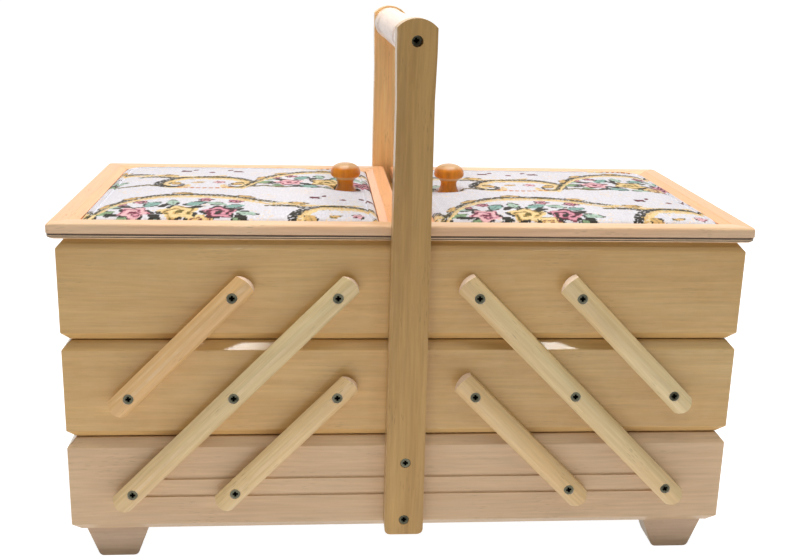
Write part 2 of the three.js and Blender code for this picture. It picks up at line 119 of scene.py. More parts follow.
class NodeBench:
    """A node tree under construction, with short calls for the usual nodes."""

    def __init__(self, tree: bpy.types.NodeTree) -> None:
        """Keeps the tree that the nodes are added to."""
        self.tree = tree

    def node(self, kind: str, inputs: dict | None = None, **settings: object) -> bpy.types.Node:
        """Adds one node.

        Args:
            kind: The node's type name.
            inputs: Values or sockets for its inputs, by name or number.
            **settings: Properties set on the node before its inputs.

        Returns:
            The new node.
        """
        made = self.tree.nodes.new(kind)
        for key, value in settings.items():
            setattr(made, key, value)
        for key, value in (inputs or {}).items():
            self.feed(made.inputs[key], value)
        return made

    def feed(self, socket: bpy.types.NodeSocket, value: object) -> None:
        """Links a socket to an input, or sets the input's own value.

        Args:
            socket: The input.
            value: A socket, or a plain value.
        """
        if isinstance(value, bpy.types.NodeSocket):
            self.tree.links.new(value, socket)
        else:
            socket.default_value = value

    def math(self, operation: str, *values: object, clamp: bool = False) -> bpy.types.NodeSocket:
        """Adds a Math node and returns its result.

        Args:
            operation: The sum to do.
            values: Its terms, sockets or numbers.
            clamp: Whether to keep the result between nought and one.

        Returns:
            The result.
        """
        made = self.node("ShaderNodeMath", operation=operation, use_clamp=clamp)
        for socket, value in zip(made.inputs, values):
            self.feed(socket, value)
        return made.outputs[0]

    def spread(self, vector: object, scale: tuple, shift: tuple = (0, 0, 0)) -> bpy.types.NodeSocket:
        """Stretches a vector by one factor on each axis, then shifts it.

        Args:
            vector: The vector.
            scale: The factors.
            shift: The shift.

        Returns:
            The new vector.
        """
        made = self.node("ShaderNodeVectorMath", operation="MULTIPLY_ADD")
        for socket, value in zip(made.inputs, (vector, scale, shift)):
            self.feed(socket, value)
        return made.outputs[0]

    def noise(self, vector: object, detail: float = 3, rough: float = 0.55,
              warp: float = 0) -> bpy.types.NodeSocket:
        """Adds fractal noise of unit size on a vector and returns its value.

        Args:
            vector: Where to read the noise.
            detail: The number of octaves.
            rough: The share of the finer octaves.
            warp: How far the noise bends itself.

        Returns:
            The value.
        """
        made = self.node("ShaderNodeTexNoise", {"Vector": vector, "Scale": 1.0, "Detail": detail,
                                                "Roughness": rough, "Distortion": warp})
        return made.outputs["Fac"]

    def band(self, value: object, low: float, high: float, to_low: float = 0,
             to_high: float = 1) -> bpy.types.NodeSocket:
        """Maps a range of values smoothly onto another, and clamps it there.

        Args:
            value: The value.
            low: Where the range starts.
            high: Where it ends.
            to_low: The result at the start.
            to_high: The result at the end.

        Returns:
            The mapped value.
        """
        made = self.node("ShaderNodeMapRange", {"Value": value, "From Min": low, "From Max": high,
                                                "To Min": to_low, "To Max": to_high},
                         interpolation_type="SMOOTHSTEP")
        return made.outputs[0]

    def blend(self, factor: object, first: object, second: object,
              mode: str = "MIX") -> bpy.types.NodeSocket:
        """Mixes two colours and returns the result.

        Args:
            factor: The share of the second colour.
            first: The first colour.
            second: The second colour.
            mode: The kind of mix.

        Returns:
            The mixed colour.
        """
        made = self.node("ShaderNodeMix", data_type="RGBA", blend_type=mode)
        for index, value in ((0, factor), (6, first), (7, second)):
            self.feed(made.inputs[index], value)
        return made.outputs[2]

    def shaded(self, colour: object, shade: object) -> bpy.types.NodeSocket:
        """Darkens a colour by a grey value and returns the result."""
        grey = self.node("ShaderNodeCombineColor", {0: shade, 1: shade, 2: shade}).outputs[0]
        return self.blend(1.0, colour, grey, "MULTIPLY")

    def attribute(self, name: str, output: str = "Fac") -> bpy.types.NodeSocket:
        """Reads an attribute of the mesh."""
        return self.node("ShaderNodeAttribute", attribute_name=name).outputs[output]

    def bump(self, shader: bpy.types.Node, height: object, strength: float, distance: float) -> None:
        """Raises the surface of a shader by a height."""
        made = self.node("ShaderNodeBump", {"Height": height, "Strength": strength, "Distance": distance})
        self.feed(shader.inputs["Normal"], made.outputs["Normal"])

    def seen(self) -> bpy.types.NodeSocket:
        """Tells rays that show a surface, by eye, mirror or glass, from those that light the box.

        Returns:
            One for a ray that shows a surface, else nought.
        """
        path = self.node("ShaderNodeLightPath").outputs
        return self.math("MAXIMUM", path["Is Camera Ray"],
                         self.math("MAXIMUM", path["Is Glossy Ray"], path["Is Transmission Ray"]))


class EffectGroup:
    """A shader node group with named inputs and outputs, built once and used by many finishes."""

    def __init__(self, name: str, inputs: dict[str, tuple[str, object]],
                 outputs: dict[str, str]) -> None:
        """Makes the empty group and its sockets.

        Args:
            name: The group's name.
            inputs: Socket type and default value for each named input.
            outputs: Socket type for each named output.
        """
        self.tree = bpy.data.node_groups.new(name, "ShaderNodeTree")
        for key, (kind, value) in inputs.items():
            socket = self.tree.interface.new_socket(key, in_out="INPUT", socket_type=kind)
            if value is not None:
                socket.default_value = value
        for key, kind in outputs.items():
            self.tree.interface.new_socket(key, in_out="OUTPUT", socket_type=kind)
        self.bench = NodeBench(self.tree)
        self.given = self.bench.node("NodeGroupInput").outputs
        self.result = self.bench.node("NodeGroupOutput").inputs

    def close(self, **results: object) -> "EffectGroup":
        """Feeds the named outputs and returns the group.

        Args:
            results: What feeds each output.

        Returns:
            The group.
        """
        for key, value in results.items():
            self.bench.feed(self.result[key], value)
        return self

    def use(self, bench: NodeBench, **inputs: object) -> bpy.types.bpy_prop_collection:
        """Places the group in a material and returns its outputs.

        Args:
            bench: The material's bench.
            inputs: The inputs by name.

        Returns:
            The outputs.
        """
        made = bench.node("ShaderNodeGroup", node_tree=self.tree)
        for key, value in inputs.items():
            bench.feed(made.inputs[key.replace("_", " ")], value)
        return made.outputs


FLOAT, VECTOR = "NodeSocketFloat", "NodeSocketVector"


def figure_group() -> EffectGroup:
    """Builds the wood figure: soft stripes, fibres, pores and a slow drift of colour.

    Returns:
        The group. Place is the spot in the board, with the fibres along its first axis.
    """
    group = EffectGroup(
        "wood_figure",
        {"Place": (VECTOR, None), "Stripe Width": (FLOAT, 0.012), "Curl": (FLOAT, 0.4),
         "Pore Amount": (FLOAT, 0.5)},
        {"Stripe": FLOAT, "Fibre": FLOAT, "Pore": FLOAT, "Drift": FLOAT, "Height": FLOAT},
    )
    b, given = group.bench, group.given
    inverse = b.math("DIVIDE", 1.0, given["Stripe Width"])
    lane = b.node("ShaderNodeCombineXYZ", {0: b.math("MULTIPLY", inverse, 0.05), 1: inverse, 2: inverse})
    sway = b.noise(b.spread(given["Place"], (4, 16, 16)), detail=2)
    swayed = b.node("ShaderNodeVectorMath", operation="ADD")
    b.feed(swayed.inputs[0], given["Place"])
    b.feed(swayed.inputs[1], b.node("ShaderNodeCombineXYZ", {
        1: b.math("MULTIPLY", b.math("SUBTRACT", sway, 0.5), b.math("MULTIPLY", given["Curl"], 0.03)),
    }).outputs[0])
    stripe = b.band(b.noise(b.spread(swayed.outputs[0], lane.outputs[0]), 4, 0.62), 0.30, 0.70)
    fine = b.noise(b.spread(swayed.outputs[0], (26, 520, 520)), 3, 0.6)
    cell = b.node("ShaderNodeTexVoronoi", {"Vector": b.spread(given["Place"], (110, 900, 900)),
                                           "Scale": 1.0, "Randomness": 1.0})
    patch = b.noise(b.spread(given["Place"], (30, 70, 70), (3, 1, 7)), 2)
    pore = b.math("MULTIPLY", b.band(cell.outputs["Distance"], 0.34, 0.12),
                  b.math("MULTIPLY", b.band(patch, 0.5, 0.68), given["Pore Amount"]), clamp=True)
    drift = b.noise(b.spread(given["Place"], (5, 14, 14), (9, 2, 4)), 2, 0.5)
    height = b.math("SUBTRACT", b.math("MULTIPLY_ADD", fine, 0.6, b.math("MULTIPLY", stripe, 0.4)), pore)
    return group.close(Stripe=stripe, Fibre=fine, Pore=pore, Drift=b.band(drift, 0.3, 0.7), Height=height)


def edge_group() -> EffectGroup:
    """Builds the worn arris: a broken line where lacquer is thin on outer edges.

    Returns:
        The group, with one mask output for the worn edges and one for painted shade in the inner corners,
        where pointiness is low.
    """
    group = EffectGroup("worn_edge_and_crease_shade", {"Place": (VECTOR, None), "Breakup": (FLOAT, 0.5)},
                        {"Worn": FLOAT, "Dust": FLOAT})
    b, given = group.bench, group.given
    sharp = b.node("ShaderNodeNewGeometry").outputs["Pointiness"]
    patch = b.noise(b.spread(given["Place"], (90, 140, 140)), 3, 0.6)
    broken = b.math("ADD", b.math("SUBTRACT", 1.0, given["Breakup"]),
                    b.math("MULTIPLY", given["Breakup"], b.band(patch, 0.35, 0.65)))
    worn = b.math("MULTIPLY", b.band(sharp, 0.515, 0.60), broken, clamp=True)
    # Dust is painted shade: it darkens concave corners and creases, read from pointiness.
    return group.close(Worn=worn, Dust=b.band(sharp, 0.485, 0.40))


def ply_group() -> EffectGroup:
    """Builds the cut edge of plywood: thin layers with darker glue lines and end grain.

    Returns:
        The group. Through is the height in the sheet, and Ply Thickness one layer's.
    """
    group = EffectGroup("ply_edge", {"Place": (VECTOR, None), "Through": (FLOAT, 0),
                                     "Ply Thickness": (FLOAT, 0.0011)},
                        {"Glue": FLOAT, "Cross": FLOAT})
    b, given = group.bench, group.given
    drift = b.noise(b.spread(given["Place"], (45, 45, 5)), 3)
    waver = b.math("MULTIPLY", b.math("SUBTRACT", drift, 0.5), 0.35)
    level = b.math("ADD", b.math("DIVIDE", given["Through"], given["Ply Thickness"]), waver)
    near = b.math("ABSOLUTE", b.math("SUBTRACT", b.math("FRACT", level), 0.5))
    patch = b.noise(b.spread(given["Place"], (60, 60, 8), (2, 5, 1)), 3)
    glue = b.math("MULTIPLY", b.band(near, 0.24, 0.36), b.band(patch, 0.25, 0.6, 0.45, 1.0))
    cross = b.math("GREATER_THAN", b.math("FRACT", b.math("MULTIPLY", level, 0.5)), 0.5)
    return group.close(Glue=glue, Cross=cross)


def weave_group() -> EffectGroup:
    """Builds a plain weave: warp and weft threads that pass over and under each other.

    Returns:
        The group, with the threads' height, their shade and a slub mask.
    """
    group = EffectGroup("weave", {"Place": (VECTOR, None), "Pitch": (FLOAT, 0.0008)},
                        {"Height": FLOAT, "Shade": FLOAT, "Slub": FLOAT})
    b, given = group.bench, group.given
    axes = b.node("ShaderNodeSeparateXYZ", {0: given["Place"]}).outputs
    turns = [b.math("MULTIPLY", b.math("DIVIDE", axes[i], given["Pitch"]), math.pi) for i in (0, 1)]
    warp, weft = (b.math("ABSOLUTE", b.math("SINE", t)) for t in turns)
    over = b.math("GREATER_THAN", b.math("MULTIPLY", b.math("SINE", turns[0]), b.math("SINE", turns[1])), 0)
    height = b.math("ADD", b.math("MULTIPLY", over, warp),
                    b.math("MULTIPLY", b.math("SUBTRACT", 1.0, over), weft))
    slub = b.noise(b.spread(given["Place"], (900, 160, 300)), 2)
    shade = b.band(height, 0.05, 0.7, 0.72, 1.0)
    return group.close(Height=height, Shade=shade, Slub=b.band(slub, 0.35, 0.7))


def wear_group() -> EffectGroup:
    """Builds the handling marks of metal and lacquer: smudges and fine scratches.

    Returns:
        The group, with a smudge mask and a scratch mask.
    """
    group = EffectGroup("handling", {"Place": (VECTOR, None), "Scale": (FLOAT, 1.0)},
                        {"Smudge": FLOAT, "Scratch": FLOAT})
    b, given = group.bench, group.given
    sized = b.node("ShaderNodeVectorMath", {0: given["Place"]}, operation="SCALE")
    b.feed(sized.inputs["Scale"], given["Scale"])
    smudge = b.band(b.noise(b.spread(sized.outputs[0], (60, 60, 60)), 4, 0.6), 0.35, 0.7)
    scratch = b.band(b.noise(b.spread(sized.outputs[0], (2600, 170, 900)), 2, 0.5), 0.64, 0.72)
    return group.close(Smudge=smudge, Scratch=scratch)


# ------------------------------------------------------------------------- finishes


class Effects:
    """The shared shader groups, each built once."""

    def __init__(self) -> None:
        """Builds every group."""
        self.figure = figure_group()
        self.edge = edge_group()
        self.ply = ply_group()
        self.weave = weave_group()
        self.wear = wear_group()


def empty_material(name: str) -> tuple[bpy.types.Material, NodeBench, bpy.types.Node]:
    """Makes a material with a Principled shader alone.

    Args:
        name: The material's name.

    Returns:
        The material, its bench and the shader node.
    """
    material = bpy.data.materials.new(name)
    material.use_nodes = True
    material.node_tree.nodes.clear()
    bench = NodeBench(material.node_tree)
    shader = bench.node("ShaderNodeBsdfPrincipled")
    output = bench.node("ShaderNodeOutputMaterial")
    bench.feed(output.inputs["Surface"], shader.outputs["BSDF"])
    return material, bench, shader


def set_constants(shader: bpy.types.Node, values: dict[str, float]) -> None:
    """Writes plain numbers on a shader's own sockets."""
    for key, value in values.items():
        shader.inputs[key].default_value = value


@dataclass(frozen=True)
class Finish:
    """A named finish, which each kind below fills with its own nodes."""

    name: str

    def build(self, effects: Effects) -> bpy.types.Material:
        """Makes the material.

        Args:
            effects: The shared groups.

        Returns:
            The finished material.
        """
        material, bench, shader = empty_material(self.name)
        self.lay(bench, shader, effects)
        return material

    def lay(self, b: NodeBench, shader: bpy.types.Node, effects: Effects) -> None:
        """Adds the nodes of this finish."""
        raise NotImplementedError


@dataclass(frozen=True)
class WoodFinish(Finish):
    """A wood under clear lacquer, with its fibres along the board's first axis."""

    pale: str
    deep: str
    warm: str
    end: str = "D9B98C"
    stripe_width: float = 0.011
    contrast: float = 0.36
    fibre: float = 0.42
    pores: float = 0.8
    curl: float = 0.4
    worn: float = 0.35
    roughness: float = 0.42
    coat: float = 0.4
    coat_roughness: float = 0.1
    relief: float = 0.12

    def lay(self, b: NodeBench, shader: bpy.types.Node, effects: Effects) -> None:
        """Adds the nodes of this finish.

        Args:
            b: The material's bench.
            shader: The shader to feed.
            effects: The shared groups.
        """
        place, tone = b.attribute(PLACE, "Vector"), b.attribute(TONE)
        wood = effects.figure.use(b, Place=place, Stripe_Width=self.stripe_width, Curl=self.curl,
                                  Pore_Amount=self.pores)
        edge = effects.edge.use(b, Place=place, Breakup=0.55)
        streak = b.math("MULTIPLY", wood["Stripe"], self.contrast)
        base = b.blend(streak, tint(self.pale), tint(self.deep))
        base = b.blend(b.math("MULTIPLY", wood["Drift"], 0.45), base, tint(self.warm))
        base = b.blend(b.band(tone, 0.3, 0.9, 0.0, 0.75), base, tint(self.warm))
        shade = b.math("MULTIPLY_ADD", wood["Fibre"], self.fibre, 1.0 - self.fibre * 0.5)
        shade = b.math("MULTIPLY", shade, b.math("MULTIPLY_ADD", tone, 0.16, 0.92))
        shade = b.math("MULTIPLY", shade, b.math("MULTIPLY_ADD", wood["Pore"], -0.35, 1.0))
        base = b.shaded(base, shade)
        base = b.blend(b.math("MULTIPLY", edge["Worn"], self.worn), base, tint("F6DDB4"))
        # End faces take the end colour: end grain, and on the arms also a painted highlight from the overhead
        # lamp.
        base = b.blend(b.band(b.attribute(END), 0.55, 0.9, 0.0, 0.8), base, tint(self.end))
        # Painted shade: inner corners and creases of the wood are darkened toward 7A5A34.
        base = b.blend(b.math("MULTIPLY", edge["Dust"], 0.45), base, tint("7A5A34"))
        b.feed(shader.inputs["Base Color"], base)
        gloss = b.math("MULTIPLY_ADD", wood["Fibre"], 0.16, self.roughness - 0.08)
        b.feed(shader.inputs["Roughness"], b.math("MULTIPLY_ADD", wood["Pore"], 0.2, gloss, clamp=True))
        b.bump(shader, wood["Height"], self.relief, 0.0006)
        set_constants(shader, {"Coat Weight": self.coat, "Coat Roughness": self.coat_roughness,
                               "Specular IOR Level": 0.2})


@dataclass(frozen=True)
class PlyFinish(Finish):
    """Plywood, with a plain face veneer and layers on its cut edges."""

    pale: str
    deep: str
    glue: str
    ply_thickness: float = 0.0011
    cross: float = 0.5
    roughness: float = 0.5
    coat: float = 0.2

    def lay(self, b: NodeBench, shader: bpy.types.Node, effects: Effects) -> None:
        """Adds the nodes of this finish.

        Args:
            b: The material's bench.
            shader: The shader to feed.
            effects: The shared groups.
        """
        place, tone = b.attribute(PLACE, "Vector"), b.attribute(TONE)
        through = b.node("ShaderNodeSeparateXYZ", {0: place}).outputs[2]
        wood = effects.figure.use(b, Place=place, Stripe_Width=0.016, Curl=0.8, Pore_Amount=0.6)
        ply = effects.ply.use(b, Place=place, Through=through, Ply_Thickness=self.ply_thickness)
        facing = b.node("ShaderNodeSeparateXYZ", {0: b.node("ShaderNodeTexCoord").outputs["Normal"]})
        cut = b.band(b.math("ABSOLUTE", facing.outputs[2]), 0.75, 0.45)
        face = b.blend(b.math("MULTIPLY", wood["Stripe"], 0.5), tint(self.pale), tint(self.deep))
        edge = b.blend(b.math("MULTIPLY", ply["Cross"], self.cross), tint(self.pale), tint(self.glue))
        edge = b.blend(b.math("MULTIPLY", ply["Glue"], 0.6), edge, tint(self.glue))
        base = b.blend(cut, face, edge)
        shade = b.math("MULTIPLY_ADD", wood["Fibre"], 0.3, 0.85)
        shade = b.math("MULTIPLY", shade, b.math("MULTIPLY_ADD", tone, 0.16, 0.92))
        b.feed(shader.inputs["Base Color"], b.shaded(base, shade))
        b.feed(shader.inputs["Roughness"], b.math("MULTIPLY_ADD", wood["Fibre"], 0.2, self.roughness))
        groove = b.math("MULTIPLY", b.math("MULTIPLY", cut, ply["Glue"]), 1.5)
        height = b.math("SUBTRACT", wood["Height"], groove)
        b.bump(shader, height, 0.2, 0.0006)
        set_constants(shader, {"Coat Weight": self.coat, "Coat Roughness": 0.25})


@dataclass(frozen=True)
class MetalFinish(Finish):
    """A plated metal with smudges and fine scratches."""

    bright: str
    dull: str
    roughness: float

    def lay(self, b: NodeBench, shader: bpy.types.Node, effects: Effects) -> None:
        """Adds the nodes of this finish.

        Args:
            b: The material's bench.
            shader: The shader to feed.
            effects: The shared groups.
        """
        place = b.node("ShaderNodeTexCoord").outputs["Object"]
        wear = effects.wear.use(b, Place=place, Scale=1.0)
        edge = effects.edge.use(b, Place=place, Breakup=0.4)
        base = b.blend(wear["Smudge"], tint(self.bright), tint(self.dull))
        # Painted shade: concave corners of the metal are darkened toward 2A2620.
        base = b.blend(b.math("MULTIPLY", edge["Dust"], 0.8), base, tint("2A2620"))
        base = b.blend(b.math("MULTIPLY", edge["Worn"], 0.25), base, tint("8C8A7C"))
        # Painted shade: the faces inside each screw's cross recess are painted near black.
        base = b.blend(b.attribute(RECESS_SHADE), base, tint("040403"))
        b.feed(shader.inputs["Base Color"], base)
        rough = b.math("MULTIPLY_ADD", wear["Smudge"], 0.18, self.roughness)
        rough = b.math("SUBTRACT", rough, b.math("MULTIPLY", wear["Scratch"], 0.1))
        b.feed(shader.inputs["Roughness"], rough)
        b.bump(shader, wear["Scratch"], 0.15, 0.0002)
        set_constants(shader, {"Metallic": 1.0})


@dataclass(frozen=True)
class ClothFinish(Finish):
    """The woven cover of the lid pads: motifs from the cloth's own attribute, under a weave."""

    pitch: float
    sheen: float

    def lay(self, b: NodeBench, shader: bpy.types.Node, effects: Effects) -> None:
        """Adds the nodes of this finish.

        Args:
            b: The material's bench.
            shader: The shader to feed.
            effects: The shared groups.
        """
        place = b.node("ShaderNodeTexCoord").outputs["Object"]
        motif = b.attribute(MOTIF, "Color")
        weave = effects.weave.use(b, Place=place, Pitch=self.pitch)
        shade = b.math("MULTIPLY", weave["Shade"], b.math("MULTIPLY_ADD", weave["Slub"], 0.08, 0.96))
        b.feed(shader.inputs["Base Color"], b.shaded(motif, shade))
        b.feed(shader.inputs["Roughness"], b.math("MULTIPLY_ADD", weave["Slub"], 0.1, 0.78))
        b.bump(shader, weave["Height"], 0.35, 0.0003)
        set_constants(shader, {"Sheen Weight": self.sheen, "Sheen Roughness": 0.5,
                               "Specular IOR Level": 0.25})


class Finishes:
    """Every finish of the box, built once."""

    def __init__(self, effects: Effects) -> None:
        """Builds the materials.

        Args:
            effects: The shared groups.
        """
        wood = WoodFinish("lacquered_lime", pale="DABA7C", deep="BA8E4E", warm="C89A56",
                          stripe_width=0.006, pores=0.5)
        # The base box's lime is a paler copy of the trays': painted light for the floor's bounce on the
        # lowest box.
        floor_lit_copy = replace(wood, name="base_lime_floor_lit", pale="DCC29A", deep="C09E74", warm="CEAC82")
        self.carcass, self.base = wood.build(effects), floor_lit_copy.build(effects)
        # The posts are one lime in two copies: the front copy is darker as painted shade for its dim upper
        # part, the rear copy brighter as painted light.
        front = WoodFinish("post_front_lime_painted_shade", pale="CAA566", deep="A07A42", warm="B08A4C",
                           stripe_width=0.007, contrast=0.7, fibre=0.5, coat=0.3)
        rear = replace(front, name="post_rear_lime_painted_light", pale="FFDC9E", deep="FFC27C", warm="FFC880")
        self.posts = {Face.FRONT: front.build(effects), Face.REAR: rear.build(effects)}
        # The arms' end colour FFEEE2 is near white: a painted highlight on the cut ends, over their end
        # grain.
        self.arm = WoodFinish("arm_birch", pale="E8D6A4", deep="D0B274", warm="DCAC6C", end="FFEEE2",
                              stripe_width=0.006, contrast=0.5, coat=0.5).build(effects)
        # The rails' cream is paler than the carcass lime partly as painted light, for the lid's up-facing
        # rails under the overhead lamp.
        self.rail = WoodFinish("rail_birch_painted_light", pale="F0D6B0", deep="DEB88C", warm="F4AC78",
                               stripe_width=0.009, contrast=0.45, coat=0.4).build(effects)
        self.foot = WoodFinish("foot_lime", pale="DCC4A8", deep="C0A080", warm="CBAA88",
                               stripe_width=0.008, contrast=0.6, coat=0.08).build(effects)
        self.handle = WoodFinish("handle_beech", pale="FFF0E6", deep="F0DACC", warm="F8E2D4",
                                 stripe_width=0.006, contrast=0.45, coat=0.3).build(effects)
        self.knob = WoodFinish("amber_knob", pale="FA9E06", deep="A04C00", warm="D47A02",
                               stripe_width=0.004, contrast=0.6, fibre=0.4, worn=0.0, roughness=0.3,
                               coat=0.35, coat_roughness=0.06, relief=0.05).build(effects)
        self.sheet = PlyFinish("tray_ply", pale="E2CDA6", deep="C9AB7C", glue="8A6238").build(effects)
        self.lid_sheet = PlyFinish("lid_ply", pale="E0C49C", deep="B89268", glue="241006",
                                   ply_thickness=0.0008, cross=1.0).build(effects)
        self.zinc = MetalFinish("zinc_plate", bright="5E5E4E", dull="3A3A2E", roughness=0.32).build(effects)
        self.brass = MetalFinish("brass_plate", bright="D9B45C", dull="A8843E", roughness=0.28).build(effects)
        self.cloth = ClothFinish("tapestry", pitch=0.0008, sheen=0.25).build(effects)


# -------------------------------------------------------------------------- meshes


@dataclass(frozen=True)
class Board:
    """One straight piece of timber: which way its fibres run, and its own tone."""

    along: tuple[float, float, float]
    across: tuple[float, float, float]
    through: tuple[float, float, float]
    seed: int
    tone: float = 0.5
    sheet: bool = False

    @classmethod
    def of(cls, grain: Grain, seed: int, tone: float = 0.5, sheet: bool = False) -> "Board":
        """Makes a board from a named grain direction."""
        return cls(*grain.value, seed, tone, sheet)

    @classmethod
    def along_line(cls, start: Vector, end: Vector, seed: int, tone: float = 0.5) -> "Board":
        """Makes a board whose fibres follow a line in an upright plane.

        Args:
            start: One end.
            end: The other end.
            seed: The seed of its grain.
            tone: Its tone.

        Returns:
            The board.
        """
        along = (end - start).normalized()
        through = Vector((0, 1, 0))
        return cls(tuple(along), tuple(through.cross(along)), tuple(through), seed, tone)

    def places(self, points: np.ndarray) -> np.ndarray:
        """Gives each point its place along, across and through the board.

        Args:
            points: Rows of coordinates.

        Returns:
            Rows of board coordinates, shifted by the board's own seed.
        """
        axes = np.array([self.along, self.across, self.through], float)
        made = points @ axes.T
        shift = np.random.default_rng(self.seed).uniform(0.2, 3.0, 3)
        if self.sheet:
            made[:, 2] -= made[:, 2].min()
            shift[2] = 0
        return made + shift


def link_mesh(name: str, mesh: bpy.types.Mesh) -> bpy.types.Object:
    """Puts a mesh in the scene as an object at the origin.

    Args:
        name: The name of the object.
        mesh: The mesh.

    Returns:
        The object.
    """
    mesh.name = name
    made = bpy.data.objects.new(name, mesh)
    bpy.context.scene.collection.objects.link(made)
    return made


def mesh_object(name: str, points: Sequence, faces: Sequence, ids: Sequence[int] = ()) -> bpy.types.Object:
    """Makes an object from points and faces, with its faces turned outwards.

    Args:
        name: The object's name.
        points: Its points.
        faces: Its faces, as point numbers.
        ids: The number of the board that each point belongs to, if there are several.

    Returns:
        The new object.
    """
    mesh = bpy.data.meshes.new(name)
    mesh.from_pydata([tuple(p) for p in points], [], [tuple(f) for f in faces])
    if len(ids):
        mesh.attributes.new("board_id", "INT", "POINT").data.foreach_set("value", list(ids))
    work = bmesh.new()
    work.from_mesh(mesh)
    bmesh.ops.recalc_face_normals(work, faces=work.faces)
    work.to_mesh(mesh)
    work.free()
    return link_mesh(name, mesh)


def merged_copy(node: str, name: str) -> bpy.types.Object:
    """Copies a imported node's mesh, welded and with its flat faces made whole.

    Args:
        node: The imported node.
        name: The copy's name.

    Returns:
        The new object.
    """
    work = bmesh.new()
    work.from_mesh(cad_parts[node].data)
    bmesh.ops.remove_doubles(work, verts=work.verts, dist=1e-6)
    bmesh.ops.dissolve_limit(work, angle_limit=math.radians(0.6), verts=work.verts, edges=work.edges)
    mesh = bpy.data.meshes.new(name)
    work.to_mesh(mesh)
    work.free()
    mesh.materials.clear()
    return link_mesh(name, mesh)


def settle(piece: bpy.types.Object) -> bpy.types.Object:
    """Turns a piece with modifiers into a plain mesh.

    Args:
        piece: The piece.

    Returns:
        The same piece.
    """
    graph = bpy.context.evaluated_depsgraph_get()
    mesh = bpy.data.meshes.new_from_object(piece.evaluated_get(graph))
    piece.modifiers.clear()
    old, piece.data = piece.data, mesh
    mesh.name = piece.name
    bpy.data.meshes.remove(old)
    return piece


def shade(piece: bpy.types.Object, sharp: float | None = None) -> bpy.types.Object:
    """Shades a piece smooth, with sharp edges above an angle in degrees if one is given.

    Args:
        piece: The piece.
        sharp: The angle, or None for no sharp edge.

    Returns:
        The same piece.
    """
    mesh = piece.data
    mesh.polygons.foreach_set("use_smooth", [True] * len(mesh.polygons))
    if sharp is not None:
        mesh.set_sharp_from_angle(angle=math.radians(sharp))
    return piece


def ease_edges(piece: bpy.types.Object, width: float, segments: int = 2,
               angle: float = 30) -> bpy.types.Object:
    """Rounds the arrises of a piece, as sanding does.

    Args:
        piece: The piece.
        width: The width of the rounding.
        segments: The number of steps across it.
        angle: Edges that turn less than this many degrees stay as they are.

    Returns:
        The same piece, as a plain mesh.
    """
    shade(piece)
    bevel = piece.modifiers.new("ease", "BEVEL")
    bevel.width, bevel.segments = width, segments
    bevel.limit_method, bevel.angle_limit = "ANGLE", math.radians(angle)
    bevel.use_clamp_overlap = True
    bevel.miter_outer = "MITER_ARC"
    piece.modifiers.new("weight", "WEIGHTED_NORMAL").keep_sharp = True
    return settle(piece)


def coordinates(mesh: bpy.types.Mesh) -> np.ndarray:
    """Reads the points of a mesh as rows.

    Args:
        mesh: The mesh.

    Returns:
        One row for each point.
    """
    flat = np.zeros(len(mesh.vertices) * 3, np.float32)
    mesh.vertices.foreach_get("co", flat)
    return flat.reshape(-1, 3).astype(float)


def lay_boards(piece: bpy.types.Object, boards: Sequence[Board]) -> bpy.types.Object:
    """Writes each point's place in its own board, which the wood finishes read.

    Args:
        piece: The piece, as a plain mesh.
        boards: Its boards, in the order of their numbers.

    Returns:
        The same piece.
    """
    mesh = piece.data
    points = coordinates(mesh)
    ids = np.zeros(len(points), np.int32)
    if "board_id" in mesh.attributes:
        mesh.attributes["board_id"].data.foreach_get("value", ids)
    normals = np.zeros(len(points) * 3, np.float32)
    mesh.vertices.foreach_get("normal", normals)
    normals = normals.reshape(-1, 3)
    place, tone, end = np.zeros_like(points), np.zeros(len(points)), np.zeros(len(points))
    for number, board in enumerate(boards):
        mine = ids == number
        if mine.any():
            place[mine] = board.places(points[mine])
            tone[mine] = board.tone
            end[mine] = np.abs(normals[mine] @ np.array(board.along))
    mesh.attributes.new(PLACE, "FLOAT_VECTOR", "POINT").data.foreach_set(
        "vector", place.astype(np.float32).ravel())
    for name, values in ((TONE, tone), (END, end)):
        mesh.attributes.new(name, "FLOAT", "POINT").data.foreach_set("value", values.astype(np.float32))
    return piece


def mount(piece: bpy.types.Object, body: str, material: bpy.types.Material,
          stands_for: Iterable[str] = ()) -> bpy.types.Object:
    """Gives a finished piece its finish and its body, and reports it.

    Args:
        piece: The piece.
        body: The body that it moves with.
        material: Its finish.
        stands_for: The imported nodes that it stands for.

    Returns:
        The same piece.
    """
    piece.data.materials.clear()
    piece.data.materials.append(material)
    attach(piece, body)
    names = list(stands_for)
    if names:
        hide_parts(*names)
    LOG.info("%s rides on %s: %d faces", piece.name, body, len(piece.data.polygons))
    return piece


def dress_node(node: str, material: bpy.types.Material) -> None:
    """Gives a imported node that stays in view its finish.

    Args:
        node: The name of the node.
        material: Its finish.
    """
    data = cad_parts[node].data
    data.materials.clear()
    data.materials.append(material)
    LOG.info("%s keeps its packed shape", node)


